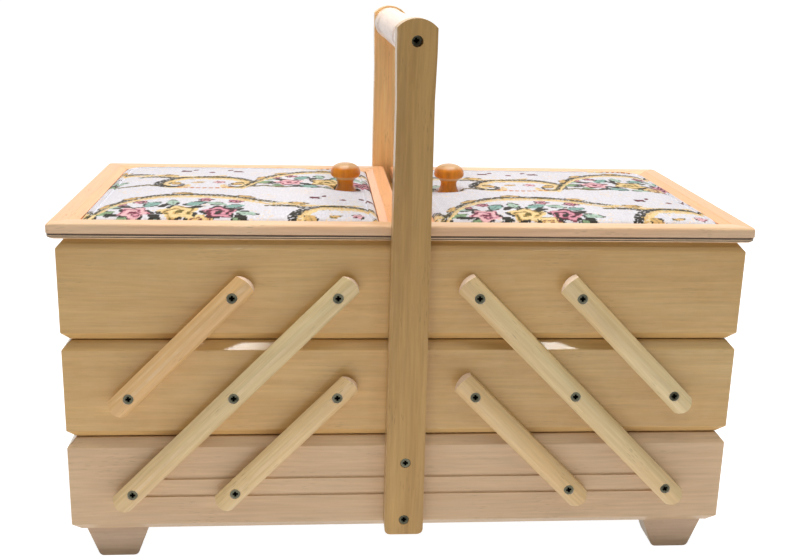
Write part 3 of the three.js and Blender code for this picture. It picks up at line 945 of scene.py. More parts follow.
def lathe(profile: Sequence[Point], segments: int, along: Vector, start: Vector) -> tuple[list, list]:
    """Turns a profile about a line.

    Args:
        profile: Distance along the line and radius, from one end to the other; ends have no radius.
        segments: The number of steps round.
        along: The line's direction.
        start: The line's first point.

    Returns:
        The points and faces of a closed shape.
    """
    turn = along.to_track_quat("Z", "Y")
    points, faces = [], []
    for height, radius in profile[1:-1]:
        for step in range(segments):
            angle = 2 * math.pi * step / segments
            spot = Vector((radius * math.cos(angle), radius * math.sin(angle), height))
            points.append(start + turn @ spot)
    rows = len(profile) - 2
    for row in range(rows - 1):
        for step in range(segments):
            a, b = row * segments + step, row * segments + (step + 1) % segments
            faces.append((a, b, b + segments, a + segments))
    for height, row in ((profile[0][0], 0), (profile[-1][0], rows - 1)):
        pole = len(points)
        points.append(start + turn @ Vector((0, 0, height)))
        for step in range(segments):
            faces.append((pole, row * segments + step, row * segments + (step + 1) % segments))
    return points, faces


def smooth_curve(marks: Sequence[Point], steps: int) -> list[Point]:
    """Runs a smooth curve through marks in the plane.

    Args:
        marks: The marks.
        steps: The number of steps between two marks.

    Returns:
        Points on the curve.
    """
    made: list[Point] = []
    padded = [marks[0], *marks, marks[-1]]
    for before, a, b, after in zip(padded, padded[1:], padded[2:], padded[3:]):
        for step in range(steps):
            t = step / steps
            made.append(tuple(
                0.5 * (2 * a[i] + (b[i] - before[i]) * t
                       + (2 * before[i] - 5 * a[i] + 4 * b[i] - after[i]) * t * t
                       + (3 * a[i] - before[i] - 3 * b[i] + after[i]) * t ** 3) for i in (0, 1)))
    return [*made, tuple(marks[-1])]


@dataclass
class MitredFrame:
    """Four boards round a rectangle, mitred at the corners."""

    outer: tuple[float, float, float, float]
    inner: tuple[float, float, float, float]
    profile: Sequence[Point]
    corner_radius: float = 0.0
    arc_steps: int = 4

    @staticmethod
    def corners(rectangle: tuple[float, float, float, float]) -> list[Vector]:
        """Lists a rectangle's corners, from its front left one round by the right."""
        x0, y0, x1, y1 = rectangle
        return [Vector((x0, y0)), Vector((x1, y0)), Vector((x1, y1)), Vector((x0, y1))]

    def stations(self, side: int) -> list[tuple[Vector, Vector]]:
        """Lists the outer and inner points along one board.

        Args:
            side: The board's number, from the front one round by the right.

        Returns:
            Pairs of points, from one mitre to the other.
        """
        outside, inside = self.corners(self.outer), self.corners(self.inner)
        a, b = outside[side], outside[(side + 1) % 4]
        inner_a, inner_b = inside[side], inside[(side + 1) % 4]
        if not self.corner_radius:
            return [(a, inner_a), (b, inner_b)]
        r, run = self.corner_radius, (b - a).normalized()
        inward = Vector((-run.y, run.x))
        made = []
        for corner, inner_corner, way in ((a, inner_a, 1), (b, inner_b, -1)):
            centre = corner + r * way * run + r * inward
            part = []
            for step in range(self.arc_steps + 1):
                share = step / self.arc_steps
                angle = math.radians(45) * (1 - share)
                spot = centre - r * (inward * math.cos(angle) + way * run * math.sin(angle))
                part.append((spot, inner_corner + way * run * r * 0.5 * share))
            made.extend(part if way == 1 else reversed(part))
        return made

    def board(self, name: str, side: int) -> bpy.types.Object:
        """Makes one board, from mitre to mitre.

        Args:
            name: The board's name.
            side: The board's number, from the front one round by the right.

        Returns:
            The board.
        """
        count, stations = len(self.profile), self.stations(side)
        points = []
        for outside, inside in stations:
            for u, z in self.profile:
                spot = outside.lerp(inside, u)
                points.append((spot.x, spot.y, z))
        faces = []
        for row in range(len(stations) - 1):
            for j in range(count):
                k = (j + 1) % count
                a = row * count
                faces.append((a + j, a + k, a + count + k, a + count + j))
        last = (len(stations) - 1) * count
        faces.append(tuple(range(count)))
        faces.append(tuple(last + j for j in reversed(range(count))))
        return mesh_object(f"{name}_{side}", points, faces, [side] * len(points))

    def build(self, name: str, ease: tuple[float, int, float],
              cutter: bpy.types.Object | None = None) -> bpy.types.Object:
        """Makes the four boards as one object, numbered for the grain.

        Args:
            name: The object's name.
            ease: The edges' rounding: its width, its segments and the angle in degrees it starts at.
            cutter: A tool whose shape is cut out of the front and rear boards.

        Returns:
            The object.
        """
        boards = [ease_edges(self.board(name, side), *ease) for side in range(4)]
        if cutter is not None:
            for board in boards[::2]:
                cut = board.modifiers.new("grooves", "BOOLEAN")
                cut.operation, cut.solver, cut.object = "DIFFERENCE", "EXACT", cutter
                shade(settle(board), sharp=8)
            bpy.data.objects.remove(cutter)
        with bpy.context.temp_override(active_object=boards[0], selected_editable_objects=boards,
                                       selected_objects=boards, object=boards[0]):
            bpy.ops.object.join()
        boards[0].name = boards[0].data.name = name
        return boards[0]

    @staticmethod
    def boards(seed: int, upright: bool) -> list[Board]:
        """Gives the four boards their grain: along each board, with its face upright or flat.

        Args:
            seed: The first board's seed.
            upright: True if the boards stand on edge.

        Returns:
            The boards, from the front one round by the right.
        """
        drawn = np.random.default_rng(seed).uniform(0.15, 0.6, 4)
        tones = drawn if upright else (0.25, 0.85, 0.4, 0.85)
        made = []
        for side in range(4):
            along, flat = ((1, 0, 0), (0, 1, 0)) if side % 2 == 0 else ((0, 1, 0), (1, 0, 0))
            across, through = ((0, 0, 1), flat) if upright else (flat, (0, 0, 1))
            made.append(Board(along, across, through, seed + side, float(tones[side])))
        return made


# -------------------------------------------------------------------------- screws


class HeadStyle(Enum):
    """The kinds of screw: head radius, depth, recess width and shank radius."""

    PIVOT = (3.2 * MM, 1.7 * MM, 1.5 * MM, 1.5 * MM)
    FIXING = (3.05 * MM, 1.9 * MM, 1.45 * MM, 1.6 * MM)
    HINGE = (1.75 * MM, 0.7 * MM, 0.55 * MM, 0.8 * MM)


@dataclass(frozen=True)
class ScrewSpot:
    """Where one screw sits: the middle of its head, the way it faces, and its length."""

    place: tuple[float, float, float]
    facing: tuple[float, float, float]
    length: float


class ScrewTree:
    """The geometry nodes that set a cross-recessed screw at every point of a mesh."""

    shank_length = 0.87

    def __init__(self) -> None:
        """Builds the tree once, for every screw of the box."""
        self.tree = bpy.data.node_groups.new("screw_set", "GeometryNodeTree")
        face = self.tree.interface
        face.new_socket("Geometry", in_out="INPUT", socket_type="NodeSocketGeometry")
        for name, value in (("Head Radius", 0.003), ("Head Depth", 0.0017), ("Recess Width", 0.001),
                            ("Shank Radius", 0.0015)):
            face.new_socket(name, in_out="INPUT", socket_type=FLOAT).default_value = value
        face.new_socket("Seed", in_out="INPUT", socket_type="NodeSocketInt").default_value = 5
        face.new_socket("Finish", in_out="INPUT", socket_type="NodeSocketMaterial")
        face.new_socket("Geometry", in_out="OUTPUT", socket_type="NodeSocketGeometry")
        self.inputs = {s.name: s.identifier for s in face.items_tree if s.in_out == "INPUT"}
        self._grow(NodeBench(self.tree))

    def _grow(self, b: NodeBench) -> None:
        """Adds the tree's nodes.

        Args:
            b: The tree's bench.
        """
        given = b.node("NodeGroupInput").outputs
        radius, depth = given["Head Radius"], given["Head Depth"]
        cone = b.node("GeometryNodeMeshCone", {
            "Vertices": 28, "Radius Top": radius, "Radius Bottom": given["Shank Radius"], "Depth": depth})
        head = b.node("GeometryNodeTransform", {
            "Geometry": cone.outputs["Mesh"],
            "Translation": self._up(b, b.math("MULTIPLY", depth, -1.0))})
        arms = []
        for turned in (False, True):
            long, short = b.math("MULTIPLY", radius, 1.15), given["Recess Width"]
            size = b.node("ShaderNodeCombineXYZ", {0: short if turned else long, 1: long if turned else short,
                                                   2: b.math("MULTIPLY", depth, 1.3)})
            bar = b.node("GeometryNodeMeshCube", {"Size": size.outputs[0]})
            arms.append(bar.outputs["Mesh"])
        cut = b.node("GeometryNodeMeshBoolean", {"Mesh 1": head.outputs["Geometry"]}, operation="DIFFERENCE")
        for arm in arms:
            b.tree.links.new(arm, cut.inputs["Mesh 2"])
        # Marks the faces inside the cross recess, which the metal finish paints near black as painted shade.
        spot = b.node("ShaderNodeSeparateXYZ", {0: b.node("GeometryNodeInputPosition").outputs[0]}).outputs
        away = b.math("SQRT", b.math("ADD", b.math("MULTIPLY", spot[0], spot[0]),
                                     b.math("MULTIPLY", spot[1], spot[1])))
        inside = b.math("LESS_THAN", away, b.math("MULTIPLY", radius, 0.66))
        below = b.math("LESS_THAN", spot[2], -0.0001)
        recess_shaded = b.node("GeometryNodeStoreNamedAttribute", {
            "Geometry": cut.outputs["Mesh"], "Name": RECESS_SHADE, "Value": b.math("MULTIPLY", inside, below)},
            data_type="FLOAT", domain="FACE")
        shank = b.node("GeometryNodeMeshCylinder", {"Vertices": 16, "Radius": given["Shank Radius"],
                                                    "Depth": self.shank_length})
        middle = (0, 0, self.shank_length / 2 - 1)
        sunk = b.node("GeometryNodeTransform", {"Geometry": shank.outputs["Mesh"], "Translation": middle})
        facing = b.node("GeometryNodeInputNamedAttribute", {"Name": "facing"}, data_type="FLOAT_VECTOR")
        reach = b.node("GeometryNodeInputNamedAttribute", {"Name": "reach"}, data_type="FLOAT")
        aim = b.node("FunctionNodeAlignRotationToVector", {"Vector": facing.outputs["Attribute"]}, axis="Z")
        chance = b.node("FunctionNodeRandomValue", {"Seed": given["Seed"]}, data_type="FLOAT")
        for socket in chance.inputs:
            if socket.name == "Max" and socket.type == "VALUE":
                socket.default_value = math.pi
        angle = next(s for s in chance.outputs if s.type == "VALUE")
        twist = b.node("FunctionNodeAxisAngleToRotation", {"Axis": (0, 0, 1), "Angle": angle})
        turn = b.node("FunctionNodeRotateRotation", {
            "Rotation": aim.outputs[0], "Rotate By": twist.outputs[0]}, rotation_space="LOCAL")
        joined = b.node("GeometryNodeJoinGeometry")
        for shape, scale in ((recess_shaded.outputs["Geometry"], None), (sunk.outputs["Geometry"], reach)):
            spots = b.node("GeometryNodeInstanceOnPoints", {
                "Points": given["Geometry"], "Instance": shape, "Rotation": turn.outputs[0]})
            if scale is not None:
                stretch = b.node("ShaderNodeCombineXYZ", {0: 1.0, 1: 1.0, 2: scale.outputs["Attribute"]})
                b.feed(spots.inputs["Scale"], stretch.outputs[0])
            b.tree.links.new(spots.outputs[0], joined.inputs[0])
        real = b.node("GeometryNodeRealizeInstances", {"Geometry": joined.outputs[0]})
        finish = b.node("GeometryNodeSetMaterial", {"Geometry": real.outputs[0], "Material": given["Finish"]})
        b.node("NodeGroupOutput", {"Geometry": finish.outputs[0]})

    @staticmethod
    def _up(b: NodeBench, height: object) -> bpy.types.NodeSocket:
        """Makes a vector that points up by a socket's value."""
        return b.node("ShaderNodeCombineXYZ", {2: height}).outputs[0]

    def drive(self, name: str, spots: Sequence[ScrewSpot], style: HeadStyle,
              finish: bpy.types.Material) -> bpy.types.Object:
        """Makes the screws of one body as a plain mesh.

        Args:
            name: The piece's name.
            spots: Where the screws sit.
            style: The kind of screw.
            finish: The screws' finish.

        Returns:
            The new piece.
        """
        mesh = bpy.data.meshes.new(name)
        mesh.from_pydata([s.place for s in spots], [], [])
        facing = np.array([s.facing for s in spots], np.float32).ravel()
        mesh.attributes.new("facing", "FLOAT_VECTOR", "POINT").data.foreach_set("vector", facing)
        mesh.attributes.new("reach", "FLOAT", "POINT").data.foreach_set("value", [s.length for s in spots])
        piece = link_mesh(name, mesh)
        modifier = piece.modifiers.new("screws", "NODES")
        modifier.node_group = self.tree
        sizes = dict(zip(("Head Radius", "Head Depth", "Recess Width", "Shank Radius"), style.value))
        for key, value in {**sizes, "Finish": finish}.items():
            modifier[self.inputs[key]] = value
        return shade(settle(piece), sharp=25)


class RodTree:
    """The geometry nodes that turn a rod from stations along a line."""

    def __init__(self) -> None:
        """Builds the tree."""
        self.tree = bpy.data.node_groups.new("turned_rod", "GeometryNodeTree")
        face = self.tree.interface
        face.new_socket("Geometry", in_out="INPUT", socket_type="NodeSocketGeometry")
        face.new_socket("Facets", in_out="INPUT", socket_type="NodeSocketInt").default_value = 48
        face.new_socket("Girth", in_out="INPUT", socket_type=FLOAT).default_value = 1.0
        face.new_socket("Finish", in_out="INPUT", socket_type="NodeSocketMaterial")
        face.new_socket("Geometry", in_out="OUTPUT", socket_type="NodeSocketGeometry")
        self.inputs = {s.name: s.identifier for s in face.items_tree if s.in_out == "INPUT"}
        b = NodeBench(self.tree)
        given = b.node("NodeGroupInput").outputs
        line = b.node("GeometryNodeMeshToCurve", {"Mesh": given["Geometry"]})
        radius = b.node("GeometryNodeInputNamedAttribute", {"Name": "girth"}, data_type="FLOAT")
        ring = b.node("GeometryNodeCurvePrimitiveCircle", {"Resolution": given["Facets"], "Radius": 1.0})
        skin = b.node("GeometryNodeCurveToMesh", {
            "Curve": line.outputs[0], "Profile Curve": ring.outputs[0], "Fill Caps": True,
            "Scale": b.math("MULTIPLY", radius.outputs["Attribute"], given["Girth"])})
        real = b.node("GeometryNodeRealizeInstances", {"Geometry": skin.outputs[0]})
        finish = b.node("GeometryNodeSetMaterial", {"Geometry": real.outputs[0], "Material": given["Finish"]})
        b.node("NodeGroupOutput", {"Geometry": finish.outputs[0]})

    def turn(self, name: str, stations: Sequence[tuple[Vector, float]],
             finish: bpy.types.Material, facets: int = 48) -> bpy.types.Object:
        """Makes a rod as a plain mesh.

        Args:
            name: The piece's name.
            stations: Points on the rod's line, each with its radius.
            finish: The rod's finish.
            facets: The number of steps round.

        Returns:
            The new piece.
        """
        mesh = bpy.data.meshes.new(name)
        edges = [(i, i + 1) for i in range(len(stations) - 1)]
        mesh.from_pydata([tuple(s[0]) for s in stations], edges, [])
        mesh.attributes.new("girth", "FLOAT", "POINT").data.foreach_set("value", [s[1] for s in stations])
        piece = link_mesh(name, mesh)
        modifier = piece.modifiers.new("turning", "NODES")
        modifier.node_group = self.tree
        for key, value in {"Facets": facets, "Finish": finish}.items():
            modifier[self.inputs[key]] = value
        return shade(settle(piece), sharp=50)


# ----------------------------------------------------------------------- tapestry


class Thread(Enum):
    """The yarn colours of the tapestry."""

    IVORY = "E6E9F6"
    PEACH = "F3DFC4"
    LEAF = "8FB08C"
    MINT = "B4D2C6"
    TEAL = "8DB9B4"
    ROSE = "DE9DB2"
    BLUSH = "F0C6CE"
    WINE = "74203F"
    GOLD = "DCB878"
    HONEY = "F1DBA4"
    OLIVE = "6B5F25"
    INK = "24241E"
    RUST = "C9803A"


class Tapestry:
    """Paints woven motifs on a grid of points: roses, leaves, scrolls and small bows."""

    def __init__(self, xs: np.ndarray, ys: np.ndarray, seed: int) -> None:
        """Starts with a plain ivory ground.

        Args:
            xs: Grid positions across, in metres.
            ys: Grid positions front to back, in metres.
            seed: The seed for the yarns' unevenness.
        """
        step = 0.9
        x, y = np.meshgrid(xs / MM, ys / MM, indexing="ij")
        self.x, self.y = np.floor(x / step) * step, np.floor(y / step) * step
        self.cloth = np.ones((*x.shape, 3)) * np.array(tint(Thread.IVORY.value)[:3])
        picks = np.floor(x / step).astype(int) * 7919 + np.floor(y / step).astype(int) * 104729
        self.chance = np.random.default_rng(seed).random(4096)[picks % 4096]
        self._fleck()

    def _fleck(self) -> None:
        """Scatters pale peach picks over the ground."""
        sway = np.sin(self.x / 9.0) * np.sin(self.y / 7.0 + 1.3)
        self.lay((self.chance > 0.93) & (sway > 0.2), Thread.PEACH)

    def lay(self, mask: np.ndarray, thread: Thread, strength: float = 1.0) -> None:
        """Lays one yarn over the masked picks."""
        colour = np.array(tint(thread.value)[:3])
        self.cloth[mask] = self.cloth[mask] * (1 - strength) + colour * strength

    def leaf(self, cx: float, cy: float, length: float, width: float, angle: float,
             thread: Thread, outline: Thread = Thread.INK) -> None:
        """Draws a pointed leaf with a broken outline and a vein.

        Args:
            cx: Its middle, across.
            cy: Its middle, front to back.
            length: Its length.
            width: Its width.
            angle: Its direction, in degrees.
            thread: Its yarn.
            outline: The outline's yarn.
        """
        dx, dy = self.x - cx, self.y - cy
        turn = math.radians(angle)
        along = (dx * math.cos(turn) + dy * math.sin(turn)) / (length / 2)
        across = (-dx * math.sin(turn) + dy * math.cos(turn)) / (width / 2)
        edge = np.abs(across) - (1 - along ** 2)
        inside = np.abs(along) < 1
        self.lay(inside & (edge <= 0.0), thread)
        broken = np.sin(along * 5 + cx) > -0.35
        self.lay(inside & (edge < 0.22) & (edge > -0.26) & broken & (self.chance > 0.12), outline)
        self.lay(inside & (edge < -0.2) & (np.abs(across) < 0.14) & (self.chance > 0.3), outline, 0.5)

    def rose(self, cx: float, cy: float, size: float, pale: Thread, deep: Thread, shadow: Thread) -> None:
        """Draws a full rose: petals round a spiral heart.

        Args:
            cx: Its middle, across.
            cy: Its middle, front to back.
            size: Its radius.
            pale: The petals' light yarn.
            deep: The petals' full yarn.
            shadow: The yarn between the petals.
        """
        dx, dy = self.x - cx, self.y - cy
        angle = np.arctan2(dy, dx)
        lobes = 1 + 0.14 * np.cos(5 * angle + cx)
        r = np.hypot(dx, dy) / (size * lobes)
        self.lay(r < 1, pale)
        swirl = np.sin(r * 11 - angle * 2 + cy)
        self.lay((r < 1) & (swirl > 0.05), deep)
        self.lay((r < 0.98) & (swirl > 0.74) & (self.chance > 0.2), shadow)
        self.lay((r > 0.84) & (r < 1.12) & (np.sin(angle * 5 + cx) > 0.05) & (self.chance > 0.1), Thread.INK)
        self.lay(r < 0.2, shadow)

    def stroke(self, marks: Sequence[Point], width: float, thread: Thread, gap: float = 0.0) -> None:
        """Draws a swelling line along a smooth path.

        Args:
            marks: Points on the path.
            width: Its full width at the middle.
            thread: Its yarn.
            gap: The share of picks that are missed, so that the ground shows.
        """
        path = np.array(smooth_curve(marks, 14))
        best = np.full(self.x.shape, 1e9)
        low, high = path.min(0) - 6, path.max(0) + 6
        window = ((self.x > low[0]) & (self.x < high[0]) & (self.y > low[1]) & (self.y < high[1]))
        if not window.any():
            return
        px, py = self.x[window], self.y[window]
        part = np.full(px.shape, 1e9)
        for index, (ax, ay) in enumerate(path):
            share = index / (len(path) - 1)
            half = width * (0.35 + 0.65 * math.sin(math.pi * share)) / 2
            part = np.minimum(part, np.hypot(px - ax, py - ay) - half)
        best[window] = part
        self.lay((best < 0) & (self.chance >= gap), thread)

    def scroll(self, marks: Sequence[Point], flip: int = 1) -> None:
        """Draws a garland stem: a dark broken line with a gold companion.

        Args:
            marks: The marks that the stem follows.
            flip: Which side the gold lies on.
        """
        self.stroke([(x, y - 6.0 * flip) for x, y in marks], 6.5, Thread.HONEY, 0.12)
        self.stroke([(x, y - 4.6 * flip) for x, y in marks], 4.6, Thread.GOLD, 0.45)
        self.stroke(marks, 5.6, Thread.OLIVE, 0.15)
        self.stroke([(x + 1.2, y + 1.6 * flip) for x, y in marks], 4.4, Thread.INK, 0.32)

    def lyre(self, cx: float, cy: float) -> None:
        """Draws the crest between two garlands: facing curls over a row of dots.

        Args:
            cx: Its middle across.
            cy: Its middle front to back.
        """
        for way in (-1, 1):
            curl = [(cx + way * dx, cy + dy) for dx, dy in
                    ((4, 21), (16, 20), (28, 10), (33, -4), (28, -14), (18, -15), (15, -6))]
            self.stroke([(x - way * 3.5, y - 1.6) for x, y in curl], 8.0, Thread.HONEY, 0.05)
            self.stroke([(x - way * 2.0, y) for x, y in curl], 4.8, Thread.GOLD, 0.35)
            self.stroke([(x + way * 1.2, y + 1.2) for x, y in curl], 6.0 - way, Thread.INK, 0.12)
            self.stroke([(cx + way * dx, cy + dy) for dx, dy in ((34, -12), (42, -8), (54, -12), (64, -8))],
                        5.0, Thread.OLIVE, 0.1)
            self.leaf(cx + way * 22, cy - 2, 13, 8, 60 * way, Thread.GOLD, Thread.INK)
        for index in range(-4, 5):
            spot = np.hypot(self.x - cx - index * 4.4, self.y - cy + 19 - 0.16 * index * index)
            self.lay(spot < 1.7, Thread.RUST)
        self.rose(cx + 9, cy + 3, 4.2, Thread.BLUSH, Thread.ROSE, Thread.WINE)
        self.leaf(cx - 6, cy + 2, 11, 5, 20, Thread.GOLD, Thread.OLIVE)

    def bows(self, cx: float, cy: float) -> None:
        """Draws a pair of small dark bows with a dot between them.

        Args:
            cx: Their middle across.
            cy: Their middle front to back.
        """
        for way in (-1, 1):
            x = cx + way * 18
            for turn in (35, -35):
                self.leaf(x + way * 1.5, cy, 10, 4.4, turn, Thread.WINE, Thread.INK)
            self.leaf(x - way * 5, cy + 6, 7, 3, 70, Thread.WINE, Thread.INK)
        self.lay(np.hypot(self.x - cx, self.y - cy + 5) < 2.2, Thread.WINE)

    def bouquet(self, cx: float, cy: float) -> None:
        """Draws a spray of roses and leaves under its arch of garland.

        Args:
            cx: Its middle across.
            cy: Its middle front to back.
        """
        for dx, dy, length, width, angle, thread in (
            (-42, -4, 16, 9, 25, Thread.LEAF), (-38, 9, 14, 8, -30, Thread.MINT),
            (-14, 15, 18, 9, 60, Thread.TEAL), (-1, 20, 17, 8, 95, Thread.MINT),
            (14, 18, 18, 9, 35, Thread.TEAL), (28, 18, 16, 8, -25, Thread.MINT),
            (40, 12, 15, 8, 15, Thread.TEAL), (49, -3, 17, 8, -20, Thread.MINT),
            (-9, -17, 20, 9, -12, Thread.TEAL), (9, -19, 18, 8, 14, Thread.MINT),
            (-30, -14, 14, 7, 40, Thread.LEAF), (44, -14, 14, 7, -45, Thread.LEAF),
        ):
            self.leaf(cx + dx, cy + dy, length, width, angle, thread)
        for dx, dy, turn in ((-36, -8, 20), (-10, -9, -30), (16, 10, 15), (-6, 12, 60), (24, -18, -10),
                             (42, 4, 35), (-18, -17, 5), (46, -10, -40), (-30, 8, -20), (12, -13, 70)):
            self.leaf(cx + dx, cy + dy, 11, 5, turn, Thread.INK, Thread.INK)
        self.rose(cx - 23, cy - 3, 10, Thread.BLUSH, Thread.ROSE, Thread.WINE)
        self.rose(cx + 5, cy - 1, 12, Thread.HONEY, Thread.GOLD, Thread.OLIVE)
        self.rose(cx + 31, cy - 1, 10.5, Thread.ROSE, Thread.WINE, Thread.INK)
        self.rose(cx + 19, cy - 14, 8, Thread.HONEY, Thread.GOLD, Thread.WINE)
        for dx, dy, size in ((-22, 21, 4.5), (20, 29, 4.8), (40, 25, 5), (-33, 14, 3.6)):
            self.rose(cx + dx, cy + dy, size, Thread.ROSE, Thread.WINE, Thread.INK)
        arch = [(-56, -24), (-50, -6), (-36, 22), (-14, 41), (10, 45), (36, 40), (58, 27), (74, 20)]
        self.scroll([(cx + dx, cy + dy) for dx, dy in arch])
        tail = [(60, 14), (76, 15), (92, 8), (112, 10), (124, 16)]
        self.scroll([(cx + dx, cy + dy) for dx, dy in tail], -1)
        back = [(-52, 2), (-66, 12), (-84, 14), (-98, 12)]
        self.scroll([(cx + dx, cy + dy) for dx, dy in back])
        for dx, dy, angle in ((-30, 33, 40), (2, 50, 0), (46, 40, -30), (82, 22, -15), (-44, 12, 70)):
            self.leaf(cx + dx, cy + dy, 15, 5.5, angle, Thread.GOLD, Thread.INK)

    def repeat(self, first: Point, step: float) -> np.ndarray:
        """Repeats the design over the cloth with a half-step offset.

        Args:
            first: The middle of one bouquet.
            step: Half the repeat.

        Returns:
            The colour of each grid point.
        """
        reach, lyre_x, lyre_y, bows_y = 260, 15, 88, 137
        for i in range(-3, 4):
            for j in range(-3, 4):
                if (i + j) % 2:
                    continue
                x, y = first[0] + i * step, first[1] + j * step
                if abs(x - float(self.x.mean())) < reach and abs(y - float(self.y.mean())) < reach:
                    self.bouquet(x, y)
                    self.lyre(x + lyre_x, y + lyre_y)
                    self.bows(x + lyre_x, y + bows_y)
        return self.cloth * (0.94 + 0.12 * self.chance[..., None])


# --------------------------------------------------------------------- assemblies


@dataclass
class Workshop:
    """What every assembly builds with."""

    finishes: Finishes
    screws: ScrewTree
    rods: RodTree


@dataclass
class Carcass:
    """An open box of four mitred boards with eased edges, and its floor."""

    node: str
    body: str
    seed: int
    wall: float = 10 * MM
    edge_inset: float = 5 * MM
    top_edge: float = 5.6 * MM
    bottom_edge: float = 5.3 * MM
    floor_rebate: float = 3 * MM
    floor_thickness: float = 3 * MM
    front: float = 110 * MM
    grooves: tuple[float, ...] = ()
    groove_radius: float = 1 * MM
    groove_half_length: float = 172 * MM
    ease: float = 0.45 * MM

    def extents(self) -> tuple[Vector, Vector]:
        """Reads the box's corners from the frame, without its screw heads.

        Returns:
            The lowest and the highest corner.
        """
        low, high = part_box(self.node)
        low.y, high.y = -self.front, self.front
        return low, high

    def build(self) -> bpy.types.Object:
        """Makes the boards.

        Returns:
            The box as one object.
        """
        low, high = self.extents()
        inset, rebate = self.edge_inset / self.wall, 1 - self.floor_rebate / self.wall
        step = low.z + self.floor_thickness
        profile = [(0, low.z + self.bottom_edge), (inset, low.z), (rebate, low.z), (rebate, step),
                   (1, step), (1, high.z), (inset, high.z), (0, high.z - self.top_edge)]
        outer = (low.x, low.y, high.x, high.y)
        inner = (low.x + self.wall, low.y + self.wall, high.x - self.wall, high.y - self.wall)
        cutter = self._groove_tool(low) if self.grooves else None
        piece = MitredFrame(outer, inner, profile).build(self.node + "_boards", (self.ease, 3, 25), cutter)
        return lay_boards(piece, MitredFrame.boards(self.seed, upright=True))

    def _groove_tool(self, low: Vector) -> bpy.types.Object:
        """Makes the round-ended tool that cuts the stopped grooves of the long faces.

        Args:
            low: The box's lowest corner.

        Returns:
            The tool.
        """
        turns = [math.radians(a) for a in (90, 60, 30, 0)]
        ends = [(math.sin(a) * self.groove_radius, math.cos(a) * self.groove_radius) for a in turns]
        half = self.groove_half_length
        profile = [(-half - d, r if r > 1e-6 else 0) for d, r in ends]
        profile += [(half + d, r if r > 1e-6 else 0) for d, r in reversed(ends)]
        points, faces = [], []
        for height in self.grooves:
            for face in Face:
                start = Vector((0, face.sign * self.front, low.z + height))
                more, rings = lathe(profile, 16, Vector((1, 0, 0)), start)
                faces += [tuple(i + len(points) for i in ring) for ring in rings]
                points += more
        return mesh_object(self.node + "_groove_tool", points, faces)

    def dress(self, shop: Workshop) -> None:
        """Builds the box and its floor, and gives them their finish.

        Args:
            shop: What to build with.
        """
        finish = shop.finishes.base if self.grooves else shop.finishes.carcass
        mount(self.build(), self.body, finish, [self.node])
        suffix = "base_floor" if self.node == "base_box" else self.node + "_floor"
        floor = ease_edges(merged_copy(suffix, suffix + "_sheet"), 0.2 * MM)
        lay_boards(floor, [Board.of(Grain.ACROSS, self.seed + 7, 0.4, sheet=True)])
        mount(floor, self.body, shop.finishes.sheet, [suffix])
        if self.node != "base_box":
            name = self.node + "_divider"
            grain = Grain.UPRIGHT_DEEP if "middle" in self.node else Grain.FLAT_FRONT
            divider = ease_edges(merged_copy(name, name + "_board"), 0.5 * MM, 3)
            lay_boards(divider, [Board.of(grain, self.seed + 9, 0.6)])
            mount(divider, self.body, shop.finishes.carcass, [name])


@dataclass
class Linkage:
    """The swinging arms of one side, and the screws that they turn on."""

    side: Side
    thickness: float = 11.5 * MM
    wall_gap: float = 0.5 * MM
    box_front: float = 110 * MM
    head_sink: float = 0.5 * MM
    pivot_x: tuple[float, float, float] = (44.8 * MM, 110.9 * MM, 177.0 * MM)
    pivot_z: tuple[float, float, float] = (54.4 * MM, 121.2 * MM, 188.0 * MM)
    screw_length: float = 19 * MM
    ease: float = 2.2 * MM
    tones: dict = field(default_factory=lambda: {"long": 0.25, "lower": 0.45, "upper": 0.8})

    def ends(self, kind: str) -> tuple[Vector, Vector]:
        """Gives the lower and upper pivots of one kind of arm.

        Args:
            kind: The kind of arm.

        Returns:
            The lower and the upper pivot.
        """
        inner, middle, outer = (self.side.sign * x for x in self.pivot_x)
        low, mid, high = self.pivot_z
        start, end = {"long": ((outer, low), (inner, high)), "lower": ((middle, low), (inner, mid)),
                      "upper": ((outer, mid), (middle, high))}[kind]
        return Vector((start[0], 0, start[1])), Vector((end[0], 0, end[1]))

    def screw_spots(self, body: str) -> list[ScrewSpot]:
        """Lists the pivot screws that one body holds on this side.

        Args:
            body: The base, or a tray of this side.

        Returns:
            The spots, front and rear.
        """
        inner, middle, outer = self.pivot_x
        low, mid, high = self.pivot_z
        held = {"base": [(middle, low), (outer, low)],
                f"{self.side.value}_middle_tray": [(inner, mid), (middle, mid), (outer, mid)],
                f"{self.side.value}_top_tray": [(inner, high), (middle, high)]}[body]
        top = self.box_front + 2 * self.wall_gap + self.thickness - self.head_sink
        return [ScrewSpot((self.side.sign * x, face.sign * top, z), (0, face.sign, 0), self.screw_length)
                for face in Face for x, z in held]

    def dress(self, shop: Workshop) -> None:
        """Builds the arms and the screws of the trays.

        Args:
            shop: What to build with.
        """
        side = self.side.value
        for number, kind in enumerate(("long", "lower", "upper")):
            start, end = self.ends(kind)
            for face in Face:
                node = f"arm_{kind}_{side}_{face.value}"
                arm = ease_edges(merged_copy(node, node + "_bar"), self.ease, 4, 28)
                seed = 40 + number * 7 + (3 if face is Face.REAR else 0) + (17 if side == "right" else 0)
                tone = self.tones[kind] if self.side is Side.LEFT else 0.35
                lay_boards(arm, [Board.along_line(start, end, seed, tone)])
                mount(arm, f"{side}_{kind}_arms", shop.finishes.arm, [node])
        for level in ("middle", "top"):
            body = f"{side}_{level}_tray"
            screws = shop.screws.drive(f"{body}_pivot_screws", self.screw_spots(body), HeadStyle.PIVOT,
                                       shop.finishes.zinc)
            mount(screws, body, shop.finishes.zinc)


